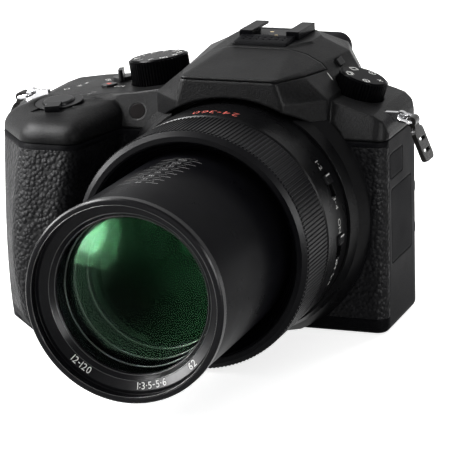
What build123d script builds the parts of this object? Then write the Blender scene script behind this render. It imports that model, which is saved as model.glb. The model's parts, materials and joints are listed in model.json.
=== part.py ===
from build123d import *
import os
from math import asin, atan2, cos, degrees, hypot, pi, radians, sin

os.makedirs("parts", exist_ok=True)

# Bridge camera with its zoom barrel run out. Millimetres, +Z up.
# The origin is the mouth of the tripod socket, under the lens axis. The lens looks along -Y, the
# grip is at -X and the viewfinder and the screen are at +Y.

# Housing
body_width = 136.8
axis_to_right = 51.0
total_height = 98.5
front_y = -22.0
body_depth = 44.0
seam_z = 68.3
wall = 1.8
skin = 1.0
floor_thickness = 1.8
edge_round = 1.6
foot_round = 2.4
front_right_round = 4.5
back_right_round = 9.0
back_left_round = 9.0
right_x = axis_to_right
left_x = axis_to_right - body_width
back_y = front_y + body_depth
housing = skin + wall

# Fits and gaps
running_fit = 0.05
slip = 0.3
joint_line = 0.2
seam_gap = 0.35
seat_fit = 0.03
overrun = 2.0

# Grip
grip_front_y = -51.0
grip_belly = 3.5
grip_side_y = -31.0
grip_nose_x = -69.5
grip_right_x = -50.0
grip_foot_x = -44.5
grip_finger_depth = 3.5
grip_side_round = 9.0
grip_nose_round = 9.0
grip_finger_round = 6.0
grip_foot_round = 4.0
grip_root_y = front_y + housing + 2 * overrun

# Lens
axis_z = 41.2
barrel_radius = 40.6
barrel_front_y = -53.4
collar_length = 10.0
collar_radius = 45.8
neck_radius = 37.8
neck_depth = 3.3
sleeve_radius = 37.6
sleeve_bore = 36.4
ring_front_y = -75.8
ring_wall_radius = 38.9
ring_ribs = 182
rib_height = 0.7
inner_radius = 32.2
inner_wall = 1.4
zoom_travel = 55.0
rim_length = 3.0
rim_front_y = ring_front_y - slip - rim_length - zoom_travel
rim_radius = 32.8
filter_radius = 31.0
filter_depth = 4.0
glass_radius = 25.2

# Viewfinder hump, half widths at three levels
visor_y = -35.0
plate_low_z = 82.0
plate_low_half = 19.0
plate_top_z = 90.5
plate_top_half = 17.0
ridge_z = 95.6
ridge_half = 11.4
ridge_y = -2.4
hump_foot_half = 31.0
hump_waist_half = 20.5
hump_hip_half = 26.0
hump_hip_y = 20.0
hump_back_half = 25.0
hump_shoe_half = 16.5
ridge_back_y = 31.0
hump_round = 2.2
arch_gap = 2.0
arch_radius = barrel_radius + arch_gap
eyepiece_y = 36.0
eyecup_back_y = 49.0

# Controls
shutter_x = -66.5
shutter_y = -25.0
shutter_z = 76.2
shutter_radius = 5.6
lever_radius = 8.5
mode_x = -38.8
mode_y = 3.5
mode_radius = 10.7
mode_height = 9.0
drive_x = 34.3
drive_y = 1.0
drive_z = 77.4
drive_radius = 8.7
drive_height = 9.0
drive_lean = 18.0

# Screen at the back
screen_width = 72.0
screen_height = 56.0
screen_thickness = 7.5
screen_proud = 2.0
screen_low_z = 7.0
hinge_width = 7.0
hinge_radius = 3.2

# Accessory shoe
shoe_slot = 18.7
shoe_outer = 22.0
shoe_mouth = 12.6
shoe_lip = 0.9
shoe_gap = 2.05
shoe_base = 0.8
shoe_front_y = 8.6
shoe_length = 18.4

# Deck of the top cover: places along X as shares of the way from the lens axis to each end,
# heights as shares of the height above the seam
left_deck_shares = [(1.0, 0.12), (0.985, 0.26), (0.96, 0.36), (0.91, 0.46), (0.79, 0.56), (0.48, 0.72),
                    (0.28, 0.90)]
right_deck_shares = [(0.60, 0.79), (0.90, 0.52), (0.965, 0.40), (0.99, 0.24), (1.0, 0.10)]
deck_rise = 15.9
deck_lean_left = 9.0
deck_lean_right = 5.0


def outline(points, radii):
    """A flat face inside straight sides whose corners are rounded by the given radii."""
    return make_face(FilletPolyline(*points, radius=radii, close=True))


def along_z(face, low, high):
    return extrude(Plane.XY.offset(low) * face, amount=high - low)


def along_y(face, near, far):
    """An outline drawn in X and Z, as a solid from near to far along Y."""
    return extrude(Plane.XZ.offset(-near) * face, amount=near - far)


def along_x(face, low, high):
    """An outline drawn in Y and Z, as a solid from low to high along X."""
    return extrude(Plane.YZ.offset(low) * face, amount=high - low)


def block(x0, x1, y0, y1, z0, z1):
    return Pos((x0 + x1) / 2, (y0 + y1) / 2, (z0 + z1) / 2) * Box(x1 - x0, y1 - y0, z1 - z0)


def soft_block(x0, x1, y0, y1, z0, z1, radius):
    """A block whose upright edges are rounded."""
    points = [(x0, y0), (x1, y0), (x1, y1), (x0, y1)]
    return along_z(outline(points, [radius] * len(points)), z0, z1)


def plate_y(x0, x1, z0, z1, y0, y1, radius):
    """A plate that faces along Y, with rounded corners."""
    points = [(x0, z0), (x1, z0), (x1, z1), (x0, z1)]
    return along_y(outline(points, [radius] * len(points)), y0, y1)


def lens_disc(radius, near, far):
    """A cylinder about the lens axis."""
    return along_y(Pos(0, axis_z) * Circle(radius), near, far)


def lens_tube(outer, inner, near, far):
    return along_y(Pos(0, axis_z) * (Circle(outer) - Circle(inner)), near, far)


def lens_turned(points):
    """A ring about the lens axis from (radius, y) corners."""
    profile = Plane.XY * make_face(Polyline(*points, close=True))
    return Pos(0, 0, axis_z) * revolve(profile, Axis.Y)


def pin_z(radius, low, high):
    return Pos(0, 0, low) * Cylinder(radius, high - low, align=(Align.CENTER, Align.CENTER, Align.MIN))


def leaning(x, y, z, lean_x, lean_y):
    """A frame at a point whose own Z leans by two angles, towards +X and towards +Y."""
    up = Vector(sin(radians(lean_x)), sin(radians(lean_y)), cos(radians(hypot(lean_x, lean_y))))
    return Plane(origin=(x, y, z), x_dir=(cos(radians(lean_x)), 0, -sin(radians(lean_x))), z_dir=up)


def knurled(radius, height, teeth, depth, bevel):
    """A knob with ribs round its side and a bevelled, plain top."""
    step = 2 * pi / teeth
    points = []
    for k in range(teeth):
        for share, r in ((0.0, radius - depth), (0.25, radius), (0.6, radius)):
            points.append((r * cos((k + share) * step), r * sin((k + share) * step)))
    ribs = extrude(make_face(Polyline(*points, close=True)), amount=height - bevel)
    cap = Pos(0, 0, height - bevel) * Cone(radius - depth, radius - depth - bevel, bevel,
                                           align=(Align.CENTER, Align.CENTER, Align.MIN))
    return ribs + cap


# Deck heights along X
def deck_points():
    left = [(left_x * s, seam_z + deck_rise * h) for s, h in left_deck_shares]
    right = [(right_x * s, seam_z + deck_rise * h) for s, h in right_deck_shares]
    return left + right


def deck_z(x):
    """Height of the deck at a place along X."""
    points = deck_points()
    for (x0, z0), (x1, z1) in zip(points, points[1:]):
        if x0 <= x <= x1:
            return z0 + (z1 - z0) * (x - x0) / (x1 - x0)
    return points[0][1]


def plan_inset(x, inset):
    """How far the front and the back of the housing draw in near its ends."""
    def bite(radius, gap):
        if gap >= radius:
            return 0.0
        return radius - (radius ** 2 - (radius - max(gap, 0.0)) ** 2) ** 0.5
    right_gap = right_x - inset - x
    left_gap = x - left_x - inset
    front = bite(front_right_round, right_gap)
    back = bite(back_right_round, right_gap) + bite(back_left_round, left_gap)
    return front, back


# Forms of the housing. Each takes an inset, so that the inside follows the outside.
def body_plan(inset):
    x0, x1 = left_x + inset, right_x - inset
    y0, y1 = front_y + inset, back_y - inset
    points = [(x0, y0), (x1, y0), (x1, y1), (x0, y1)]
    radii = [front_right_round, front_right_round, back_right_round, back_left_round]
    return outline(points, [max(r - inset, edge_round) for r in radii])


grip_level_shares = [0.075, 0.36, 0.68, 0.88, 1.0]
grip_belly_shares = [0.3, 1.0, 0.75, 0.3, 0.0]
grip_finger_shares = [0.6, 1.0, 1.0, 0.2, 0.0]


def grip_plan(front, side_y, nose_x, right, foot, inset):
    """The grip seen from above; its back lies inside the housing."""
    points = [
        (left_x + inset, grip_root_y),
        (left_x + inset, side_y),
        (nose_x, front + inset),
        (right - inset, front + inset),
        (foot - inset, front_y + inset),
        (foot + grip_foot_round + overrun, front_y + inset),
        (foot + grip_foot_round + overrun, grip_root_y),
    ]
    radii = [0, grip_side_round - inset, grip_nose_round - inset, grip_finger_round - inset,
             grip_foot_round + inset, 0, 0]
    return outline(points, radii)


def grip_sections(inset):
    """Outlines of the grip from its foot to the seam, with their heights."""
    sections = []
    for level, belly, finger in zip(grip_level_shares, grip_belly_shares, grip_finger_shares):
        front = grip_front_y - grip_belly * belly
        right = grip_right_x - grip_finger_depth * finger
        nose = grip_nose_x - grip_belly * belly
        side = grip_side_y - grip_belly * belly / 2
        sections.append((seam_z * level, grip_plan(front, side, nose, right, grip_foot_x, inset)))
    return sections


def grip_form(inset):
    sections = grip_sections(inset)
    body = loft([Plane.XY.offset(z) * face for z, face in sections])
    low_z, low_face = sections[0]
    if inset:
        return body + along_z(low_face, floor_thickness, low_z)
    foot = grip_plan(grip_front_y - grip_belly * grip_belly_shares[0] + foot_round,
                     grip_side_y, grip_nose_x + foot_round / 2,
                     grip_right_x - grip_finger_depth * grip_finger_shares[0] - foot_round / 2,
                     grip_foot_x - foot_round, 0)
    return body + loft([Plane.XY * foot, Plane.XY.offset(low_z) * low_face], ruled=True)


def lower_form(inset):
    """The housing below the seam, with the grip."""
    core = along_z(body_plan(inset), floor_thickness if inset else 0, seam_z)
    if not inset:
        core = fillet(core.edges().group_by(Axis.Z)[0], foot_round)
    return core + grip_form(inset)


grip_top_shares = [(0.0, 0.0, 0.0), (0.3, 0.03, 0.03), (0.58, 0.13, 0.16), (0.78, 0.31, 0.38),
                   (0.92, 0.56, 0.66), (1.0, 0.85, 1.0)]
grip_top_rise = 8.6
grip_top_back = 26.0
grip_top_side = 11.0


def grip_top_form(inset):
    """The rounded top of the grip, which carries the shutter button."""
    levels = []
    for rise, back, side in grip_top_shares:
        z = seam_z + (grip_top_rise - inset) * rise
        front = grip_front_y + grip_top_back * back
        plan = [
            (left_x + inset + grip_top_side * side, grip_root_y),
            (left_x + inset + grip_top_side * side, grip_side_y + grip_top_side * side / 2),
            (grip_nose_x + grip_top_side * side / 3, front + inset),
            (grip_right_x - inset - grip_top_side * side / 2, front + inset),
            (grip_foot_x - inset - grip_top_side * side / 2, front_y + inset + grip_top_side * side / 3),
            (grip_foot_x - grip_top_side * side / 2, grip_root_y),
        ]
        soft = 1 - 0.6 * side
        radii = [0, (grip_side_round - inset) * soft, (grip_nose_round - inset) * soft,
                 (grip_finger_round - inset) * soft, 0, 0]
        levels.append(Plane.XY.offset(z) * outline(plan, radii))
    return loft(levels, ruled=bool(inset))


def deck_form(inset):
    """The shoulders of the top cover, as sections across the housing."""
    stops = {x for x, z in deck_points()}
    corner_steps = 4
    for k in range(corner_steps + 1):
        share = cos(k * pi / 2 / corner_steps)
        stops.add(right_x - front_right_round * (1 - share))
        stops.add(right_x - back_right_round * (1 - share))
        stops.add(left_x + back_left_round * (1 - share))
    low, high = left_x + inset, right_x - inset
    inner = sorted(x for x in stops if low + edge_round / 4 < x < high - edge_round / 4)
    sections = []
    for x in [low] + inner + [high]:
        front_bite, back_bite = plan_inset(x, inset)
        top = deck_z(x) - inset
        lean = deck_lean_left if x < 0 else deck_lean_right
        rise = max(top - seam_z, edge_round)
        lean = lean * min(rise / deck_rise, 1.0)
        y0, y1 = front_y + inset + front_bite, back_y - inset - back_bite
        points = [(y0, seam_z), (y1, seam_z), (y1, seam_z + rise), (y0 + lean, seam_z + rise)]
        radii = [0, 0, edge_round / 2, edge_round / 2]
        sections.append(Plane.YZ.offset(x) * outline(points, radii))
    return loft(sections, ruled=True)


def hump_level(z, corners, inset):
    """One level of the viewfinder hump, from (half width, y) corners, front to back."""
    drawn_in = [(h - inset, y) for h, y in corners]
    points = [(-h, y) for h, y in drawn_in[::-1]] + drawn_in
    return Plane.XY.offset(z) * outline(points, [max(hump_round - inset, hump_round / 4)] * len(points))


def hump_form(inset):
    """The viewfinder hump, from the seam to the ridge that carries the shoe."""
    front, back, crown = visor_y + inset, eyepiece_y - inset, edge_round / 2
    foot = [(plate_low_half, front), (hump_foot_half, front_y + inset), (hump_foot_half, hump_hip_y),
            (hump_back_half, back)]
    waist = [(plate_top_half, front), (hump_waist_half, front_y + edge_round + inset),
             (hump_hip_half, hump_hip_y), (hump_waist_half, back)]
    ridge = [(ridge_half, ridge_y + inset), (hump_shoe_half, shoe_front_y),
             (hump_shoe_half, hump_hip_y), (ridge_half, ridge_back_y - inset)]
    crest = [(h - crown, y) for h, y in ridge]
    crest[0] = (ridge_half - crown, ridge_y + inset + crown * 2)
    crest[-1] = (ridge_half - crown, ridge_back_y - inset - crown * 2)
    return loft([
        hump_level(seam_z, foot, inset),
        hump_level(plate_low_z, foot, inset),
        hump_level(plate_top_z - inset, waist, inset),
        hump_level(ridge_z - crown - inset, ridge, inset),
        hump_level(ridge_z - inset, crest, inset),
    ], ruled=True)


lid_front_z = 89.9
lid_back_z = 88.4
lid_back_y = -3.2


def lid_zone(gap):
    """The region that the flash lid takes from the hump."""
    points = [(visor_y - overrun, lid_front_z - gap), (lid_back_y + gap, lid_back_z - gap),
              (lid_back_y + gap, total_height), (visor_y - overrun, total_height)]
    return along_x(outline(points, [0] * len(points)), -hump_foot_half, hump_foot_half)


# Joint between the covers, skins and doors
split_y = 13.0
skin_low_z = 5.5
skin_high_z = 66.0
rubber_edge_x = -43.0
panel_edge_x = 8.0
panel_clear = 0.4
side_flat_y = front_y + front_right_round
door_thickness = 1.5
door_round = 1.2
terminal_y0, terminal_y1 = -15.0, 9.0
terminal_z0, terminal_z1 = 24.0, 50.0
mic_y0, mic_y1 = -16.5, -1.0
mic_z0, mic_z1 = 54.0, 62.5
jack_wide, jack_high = 9.0, 3.4
jack_low_z, jack_high_z = 31.0, 42.0
jack_y = -3.0
plug_radius = 1.9
plug_y = -8.5
plug_z = 58.2

# Base
socket_radius = 3.175
socket_depth = 6.0
bush_radius = 6.0
bush_flange = 8.0
bush_flange_top = 3.0
bush_top = 7.0
battery_x0, battery_x1 = -75.0, -58.2
battery_y0, battery_y1 = -35.0, -1.5
battery_z0, battery_z1 = 3.0, 43.0
bay_wall = 0.8
bay_top = 45.0
bay_shelf = 1.0
battery_door_x0, battery_door_x1 = -77.5, -56.5
battery_door_y0, battery_door_y1 = -40.0, 2.0
battery_door_thickness = 1.6
latch_length, latch_width, latch_depth = 6.0, 9.0, 0.8
latch_travel = 2.0
latch_y = -35.0
screw_gap = 1.8
screw_places = [(-40.0, front_y + housing + screw_gap), (42.0, front_y + housing + screw_gap),
                (right_x - housing - screw_gap, 6.0), (left_x + housing + screw_gap, 6.0),
                (-40.0, back_y - housing - screw_gap)]
screw_head = 1.7
screw_shank = 0.9
screw_sink = 0.9
screw_slot = 0.5
screw_length = 6.0
boss_radius = 2.4
boss_top = 8.0

# Screen and its hinge
screen_x1 = 48.0
screen_x0 = screen_x1 - screen_width - hinge_width
screen_z0 = screen_low_z
screen_z1 = screen_low_z + screen_height
screen_y1 = back_y + screen_proud
screen_y0 = screen_y1 - screen_thickness
screen_round = 3.0
recess_gap = 0.8
recess_wall = 1.2
recess_y = screen_y0 - recess_gap
swing_x = 46.2
swing_y = (screen_y0 + screen_y1) / 2
hinge_z = screen_z0 + screen_height / 2
hinge_half = 9.0
notch_half = 9.5
ear_thickness = 3.0
pin_radius = 1.2
knuckle_radius = 3.0
web_y0, web_y1 = 18.0, 22.5
notch_x = 42.0
glass_margin = 4.5
glass_depth = 1.0
post_radius = 1.8

# Rear controls
pad_x = -49.5
pad_z = 35.0
pad_radius = 10.5
pad_bore = 4.8
pad_proud = 1.0
pad_floor = 1.0
pad_hub = 6.2
pad_clip = 7.2
clip_length = 0.8
set_radius = 4.6
set_flange = 5.6
key_radius = 2.8
key_flange = 3.8
key_proud = 0.8
flange_thickness = 1.0
key_places = {"playback_button": (-38.0, 57.0), "display_button": (-36.5, 15.5), "delete_button": (-62.0, 15.5)}
thumb_x1 = -60.0
thumb_z0, thumb_z1 = 40.0, 64.0


def common(first, second):
    """The part of one solid inside another."""
    pieces = (first & second).solids()
    return pieces[0] if len(pieces) == 1 else Compound(list(pieces))


def region(x0, x1, y0, y1, z0, z1):
    """A block that runs past the housing where a bound is left out."""
    far = body_width
    pick = [bound if bound is not None else out for bound, out in
            zip((x0, x1, y0, y1, z0, z1), (-far, far, -far, far, -far, far))]
    return block(*pick)


def disc_y(x, z, radius, y0, y1):
    return along_y(Pos(x, z) * Circle(radius), y0, y1)


def slot_x(y, z, long, high, x0, x1):
    return along_x(Pos(y, z) * SlotOverall(long, high), x0, x1)


outer_low = lower_form(0)
middle_low = lower_form(skin)
inner_low = lower_form(housing)
low_shell = outer_low - inner_low
collar_clear = lens_disc(collar_radius + panel_clear, visor_y, 0)
skin_shell = outer_low - middle_low - collar_clear
seam_groove = common(skin_shell, region(None, None, None, None, seam_z - seam_gap, None))


def grip_rubber():
    return common(skin_shell, region(None, rubber_edge_x, None, split_y, skin_low_z, skin_high_z))


def front_panel():
    return common(skin_shell, region(panel_edge_x, None, None, side_flat_y, skin_low_z, skin_high_z))


def door_plate(y0, y1, z0, z1, gap, low_x, high_x):
    points = [(y0 - gap, z0 - gap), (y1 + gap, z0 - gap), (y1 + gap, z1 + gap), (y0 - gap, z1 + gap)]
    return along_x(outline(points, [door_round] * len(points)), low_x, high_x)


def terminal_door(gap=0.0, out=0.0):
    return door_plate(terminal_y0, terminal_y1, terminal_z0, terminal_z1, gap,
                      right_x - door_thickness - gap, right_x + out)


def mic_door(gap=0.0, out=0.0):
    return door_plate(mic_y0, mic_y1, mic_z0, mic_z1, gap, right_x - door_thickness - gap, right_x + out)


def with_bosses(cover, places):
    for x, y in places:
        cover = cover + Pos(x, y) * pin_z(boss_radius, floor_thickness, boss_top)
        cover = cover - Pos(x, y) * pin_z(screw_shank, 0, screw_length)
    return cover


def front_cover(rubber, panel):
    cover = common(low_shell, region(None, None, None, split_y, floor_thickness, None))
    cover = with_bosses(cover, screw_places[:-1]) - rubber - panel - seam_groove
    cover = cover - lens_disc(neck_radius + running_fit, front_y - overrun, front_y + housing + overrun)
    cover = cover - terminal_door(joint_line, overrun) - mic_door(joint_line, overrun)
    inside = right_x - housing - overrun
    for z in (jack_low_z, jack_high_z):
        cover = cover - slot_x(jack_y, z, jack_wide, jack_high, inside, right_x)
    return cover - along_x(Pos(plug_y, plug_z) * Circle(plug_radius), inside, right_x)


def ear(low, high):
    """One fixed ear of the screen hinge."""
    round_end = Pos(swing_x, swing_y) * pin_z(hinge_radius, low, high)
    return round_end + block(swing_x - hinge_radius, swing_x + hinge_radius, recess_y - recess_wall / 2, swing_y,
                             low, high)


def rear_cover(thumb):
    cover = common(low_shell, region(None, None, split_y, None, floor_thickness, None))
    x0, z0, z1 = screen_x0 - slip, screen_z0 - slip, screen_z1 + slip
    tray = block(x0 - recess_wall, right_x, recess_y - recess_wall, back_y, z0 - recess_wall, z1 + recess_wall)
    cover = cover + common(tray, outer_low)
    cover = cover - block(x0, right_x + overrun, recess_y, screen_y1 + overrun, z0, z1)
    cover = cover + ear(hinge_z - hinge_half, hinge_z - hinge_half + ear_thickness)
    cover = cover + ear(hinge_z + hinge_half - ear_thickness, hinge_z + hinge_half)
    cover = cover - Pos(swing_x, swing_y) * pin_z(pin_radius, hinge_z - hinge_half, hinge_z + hinge_half)
    cover = cover - thumb - seam_groove
    floor_y = back_y - housing
    cover = cover - disc_y(pad_x, pad_z, pad_radius + slip, floor_y + pad_floor, back_y + overrun)
    cover = cover - disc_y(pad_x, pad_z, pad_hub + running_fit, floor_y - overrun, back_y)
    for x, z in key_places.values():
        cover = cover - disc_y(x, z, key_radius + joint_line, floor_y - overrun, back_y + overrun)
    for x, z in board_posts:
        cover = cover + disc_y(x, z, post_radius, board_back_y, recess_y - recess_wall)
    return with_bosses(cover, screw_places[-1:])


def key(place):
    """A round key of the rear cover with the flange that keeps it in."""
    x, z = place
    floor_y = back_y - housing
    flange = disc_y(x, z, key_flange, floor_y - slip - flange_thickness, floor_y - slip)
    return disc_y(x, z, key_radius, floor_y - slip, back_y + key_proud) + flange


def control_wheel():
    floor_y = back_y - housing
    ring = disc_y(pad_x, pad_z, pad_radius, floor_y + pad_floor + joint_line, back_y + pad_proud)
    hub = disc_y(pad_x, pad_z, pad_hub, floor_y - joint_line, floor_y + pad_floor + joint_line)
    clip = disc_y(pad_x, pad_z, pad_clip, floor_y - joint_line - clip_length, floor_y - joint_line)
    return ring + hub + clip - disc_y(pad_x, pad_z, pad_bore, floor_y - overrun, back_y + overrun)


def menu_set_button():
    clip_y = back_y - housing - joint_line - clip_length
    flange = disc_y(pad_x, pad_z, set_flange, clip_y - joint_line - flange_thickness, clip_y - joint_line)
    return disc_y(pad_x, pad_z, set_radius, clip_y - joint_line, back_y + pad_proud - joint_line) + flange


def screen_panel():
    panel = plate_y(screen_x0, screen_x1, screen_z0, screen_z1, screen_y0, screen_y1, screen_round)
    panel = panel - block(notch_x, screen_x1 + overrun, screen_y0 - overrun, screen_y1 + overrun,
                          hinge_z - notch_half, hinge_z + notch_half)
    low = hinge_z - hinge_half + ear_thickness + joint_line
    high = hinge_z + hinge_half - ear_thickness - joint_line
    panel = panel + Pos(swing_x, swing_y) * pin_z(knuckle_radius, low, high)
    panel = panel + block(notch_x, swing_x, web_y0, web_y1, low, high)
    panel = panel - Pos(swing_x, swing_y) * pin_z(pin_radius + running_fit, low - overrun, high + overrun)
    return panel - screen_glass()


def screen_glass():
    return plate_y(screen_x0 + glass_margin, notch_x - glass_margin / 3, screen_z0 + glass_margin,
                   screen_z1 - glass_margin, screen_y1 - glass_depth, screen_y1, screen_round / 3)


def battery_door(gap=0.0):
    plate = soft_block(battery_door_x0 - gap, battery_door_x1 + gap, battery_door_y0 - gap, battery_door_y1 + gap,
                       0, battery_door_thickness, foot_round)
    if gap:
        return plate
    middle = (battery_door_x0 + battery_door_x1) / 2
    return plate - block(middle - latch_width / 2 - joint_line, middle + latch_width / 2 + joint_line,
                         latch_y - joint_line, latch_y + latch_length + latch_travel + joint_line,
                         0, latch_depth + joint_line / 2)


def battery_latch():
    middle = (battery_door_x0 + battery_door_x1) / 2
    slide = block(middle - latch_width / 2, middle + latch_width / 2, latch_y, latch_y + latch_length,
                  latch_depth / 4, latch_depth)
    for k in range(3):
        y = latch_y + latch_length * (k + 1) / 4
        slide = slide - block(middle - latch_width / 3, middle + latch_width / 3, y - joint_line, y + joint_line,
                              0, latch_depth / 2)
    return slide


def base_plate():
    plate = common(outer_low, region(None, None, None, None, None, floor_thickness))
    plate = plate - battery_door(joint_line) - block(
        battery_x0 - slip, battery_x1 + slip, battery_y0 - slip, battery_y1 + slip, 0, floor_thickness)
    plate = plate - pin_z(bush_radius, 0, floor_thickness)
    for x, y in screw_places:
        plate = plate - Pos(x, y) * pin_z(screw_head, 0, screw_sink)
        plate = plate - Pos(x, y) * pin_z(screw_shank, 0, floor_thickness)
    return plate


def tripod_bush():
    bush = pin_z(bush_radius, 0, bush_top) + pin_z(bush_flange, floor_thickness, bush_flange_top)
    return bush - pin_z(socket_radius, 0, socket_depth)


def base_screws():
    screw = pin_z(screw_head, joint_line, screw_sink) + pin_z(screw_shank, screw_sink, screw_length)
    for turn in (0, 90):
        screw = screw - Rot(0, 0, turn) * Box(screw_head, screw_slot, screw_sink)
    screws = [Pos(x, y) * screw for x, y in screw_places]
    return Compound(screws)


def battery():
    return soft_block(battery_x0, battery_x1, battery_y0, battery_y1, battery_z0, battery_z1, edge_round)


def battery_bay():
    gap = slip
    out = slip + bay_wall
    walls = block(battery_x0 - out, battery_x1 + out, battery_y0 - out, battery_y1 + out, floor_thickness, bay_top)
    return walls - block(battery_x0 - gap, battery_x1 + gap, battery_y0 - gap, battery_y1 + gap,
                         floor_thickness, bay_top - bay_shelf)


# Boards behind the lens
board_y0 = 11.2
board_back_y = 12.4
board_x0, board_x1 = -42.0, 30.0
board_z0, board_z1 = 9.0, 62.0
board_posts = [(-26.0, 14.0), (-26.0, 56.0), (26.0, 14.0), (26.0, 56.0)]
mount_y0 = 6.0
mount_plate = 1.2
mount_half_x, mount_half_z = 22.0, 18.0
mount_wall = 2.5
mount_post = 1.5
mount_post_x, mount_post_z = 20.3, 16.3
rear_lens_radius = 13.0
rear_lens_y0, rear_lens_y1 = 0.5, 5.5
rear_lens_bulge = 0.9
sensor_half_x, sensor_half_z = 9.0, 7.0
sensor_board_x, sensor_board_z = 18.3, 14.3
sensor_board_thickness = 1.2
sensor_chip_y = 6.2


def main_board():
    return plate_y(board_x0, board_x1, board_z0, board_z1, board_y0, board_back_y, door_round)


def sensor_mount():
    plate = plate_y(-mount_half_x, mount_half_x, axis_z - mount_half_z, axis_z + mount_half_z, mount_y0,
                    mount_y0 + mount_plate, door_round)
    mount = plate + lens_disc(rear_lens_radius + mount_wall, rear_lens_y0 - bay_shelf, mount_y0)
    mount = mount - lens_disc(rear_lens_radius, rear_lens_y0 - bay_shelf, rear_lens_y1)
    mount = mount - block(-sensor_half_x - slip, sensor_half_x + slip, rear_lens_y1, mount_y0 + mount_plate,
                          axis_z - sensor_half_z - slip, axis_z + sensor_half_z + slip)
    for x in (-mount_post_x, mount_post_x):
        for z in (axis_z - mount_post_z, axis_z + mount_post_z):
            mount = mount + disc_y(x, z, mount_post, mount_y0 + mount_plate, board_y0)
    return mount


def image_sensor():
    back = mount_y0 + mount_plate
    chip = block(-sensor_half_x, sensor_half_x, sensor_chip_y, back, axis_z - sensor_half_z, axis_z + sensor_half_z)
    board = block(-sensor_board_x, sensor_board_x, back, back + sensor_board_thickness,
                  axis_z - sensor_board_z, axis_z + sensor_board_z)
    return chip + board


# Top cover and its controls
dial_gap = 0.35
dial_rib = 0.45
dial_bevel = 0.5
mode_lean = -8.0
mode_sink = 0.9
mode_teeth = 60
drive_teeth = 48
cup_wall = 1.4
cup_floor = 2.0
spindle_radius = 2.5
spindle_length = 3.4
lever_x, lever_y = -56.0, 9.0
lever_lean = -5.5
lever_hub = 3.6
lever_hub_top = 1.4
lever_hub_sink = 0.9
fin_reach = 5.6
fin_width = 1.7
fin_top = 4.6
fin_turn = -74.0
movie_x, movie_y = -57.0, -1.5
movie_radius = 2.8
button_flange = 1.0
shutter_lean_x, shutter_lean_y = -4.0, -6.0
shutter_sink = 2.0
shutter_cup = 2.2
ring_top = 1.1
ring_low = -1.6
ring_bore_gap = 0.2
shutter_top = 1.9
shutter_low = -0.6
shutter_stem = 2.0
shutter_stem_length = 5.0
tab_reach = 12.2
tab_width = 5.2
tab_low = 0.9
tab_top = 3.0
tab_ribs = 5
tab_turn = -78.0
tab_gap = 0.4
tab_sweep = 42.0
rear_dial_x = -58.0
rear_dial_radius = 8.0
rear_dial_proud = 1.8
rear_dial_low, rear_dial_high = 70.2, 73.2
rear_dial_teeth = 36
rear_dial_axle = 1.5
rear_dial_boss = 3.0
lamp_x, lamp_y, lamp_z = -39.6, -19.0, 73.8
lamp_radius = 2.7
lamp_depth = 1.4
lamp_tilt = 30.0
eye_half = 12.0
eye_z0, eye_z1 = 75.0, 87.0
eye_lens_thickness = 1.0
eye_lens_margin = 1.2
cup_half, cup_z0, cup_z1 = 18.5, 70.6, 91.4
cup_mouth_half, cup_mouth_z0, cup_mouth_z1 = 13.0, 74.0, 89.0
cup_round = 5.0
cup_edge = 2.0
diopter_z = 77.0
diopter_y = 30.0
diopter_radius = 3.8
diopter_sink = 1.1
diopter_proud = 2.3
diopter_teeth = 24
flash_key_y, flash_key_z = 8.0, 88.7
flash_key_long, flash_key_high = 4.2, 2.6
flash_key_proud = 0.9
flash_key_lean_x, flash_key_lean_y = 52.0, -5.6
flash_box_half = 13.5
flash_box_y0, flash_box_y1 = -30.5, -14.0
flash_box_low = 86.1
flash_window_half = 12.5
flash_window_z0, flash_window_z1 = 86.5, 89.2
flash_window_thickness = 0.8
bulkhead_y = -2.9
bulkhead = 1.4
mic_half = 9.8
mic_low_z, mic_nose_z, mic_high_z = 94.9, 96.3, 97.2
mic_y_front, mic_y_nose, mic_y_back = -1.6, -0.9, 8.2
mic_hole = 0.45
mic_hole_step = 2.4
mic_hole_depth = 0.9
contact_radius = 0.75
contact_places = [(0.0, 16.0), (-3.4, 22.0), (-3.4, 13.5), (3.4, 22.0), (3.4, 13.5)]
shoe_top_z = ridge_z - running_fit
lug_z = 74.2
lug_y_right, lug_y_left = -8.0, -2.0
lug_x_right, lug_x_left = 52.8, -86.9
lug_eye = 1.1
lug_head = 2.0
lug_thickness = 2.0
lug_root = 6.4
lug_half = 1.6
wire = 0.7
ring_length, ring_width = 4.2, 8.4
ring_round = 1.2
ring_tilt = 75.0
tab_tilt = 22.0
neck_tab_radius = 1.7
neck_tab_width = 5.2
neck_tab_bore_gap = 0.1
tab_plate_width = 10.0
tab_plate_length = 12.0
tab_plate_start = 2.6
tab_plate_thickness = 1.6
tab_plate_round = 2.0
tab_slot_long, tab_slot_high = 6.4, 1.3


def cylinder(radius, low, high):
    return pin_z(radius, low, high)


def sector(outer, inner, low, high):
    """The part of a ring between two angles, counted up from the first axis."""
    span = outer * 2
    wedge = [(0, 0)]
    for share in (0.0, 0.5, 1.0):
        angle = radians(low + (high - low) * share)
        wedge.append((span * cos(angle), span * sin(angle)))
    return (Circle(outer) - Circle(inner)) & make_face(Polyline(*wedge, close=True))


def mode_frame():
    return leaning(mode_x, mode_y, deck_z(mode_x), mode_lean, 0)


def drive_frame():
    return leaning(drive_x, drive_y, drive_z, drive_lean, 0)


def lever_frame():
    return leaning(lever_x, lever_y, deck_z(lever_x), lever_lean, 0)


def movie_frame():
    return leaning(movie_x, movie_y, deck_z(movie_x), lever_lean, 0)


def shutter_frame():
    return leaning(shutter_x, shutter_y, shutter_z, shutter_lean_x, shutter_lean_y)


def flank_half(y, z):
    """Half width of the hump's flank between its foot and its waist."""
    along = (y - front_y - edge_round) / (hump_hip_y - front_y - edge_round)
    waist = hump_waist_half + (hump_hip_half - hump_waist_half) * along
    return hump_foot_half - (hump_foot_half - waist) * (z - plate_low_z) / (plate_top_z - plate_low_z)


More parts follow.
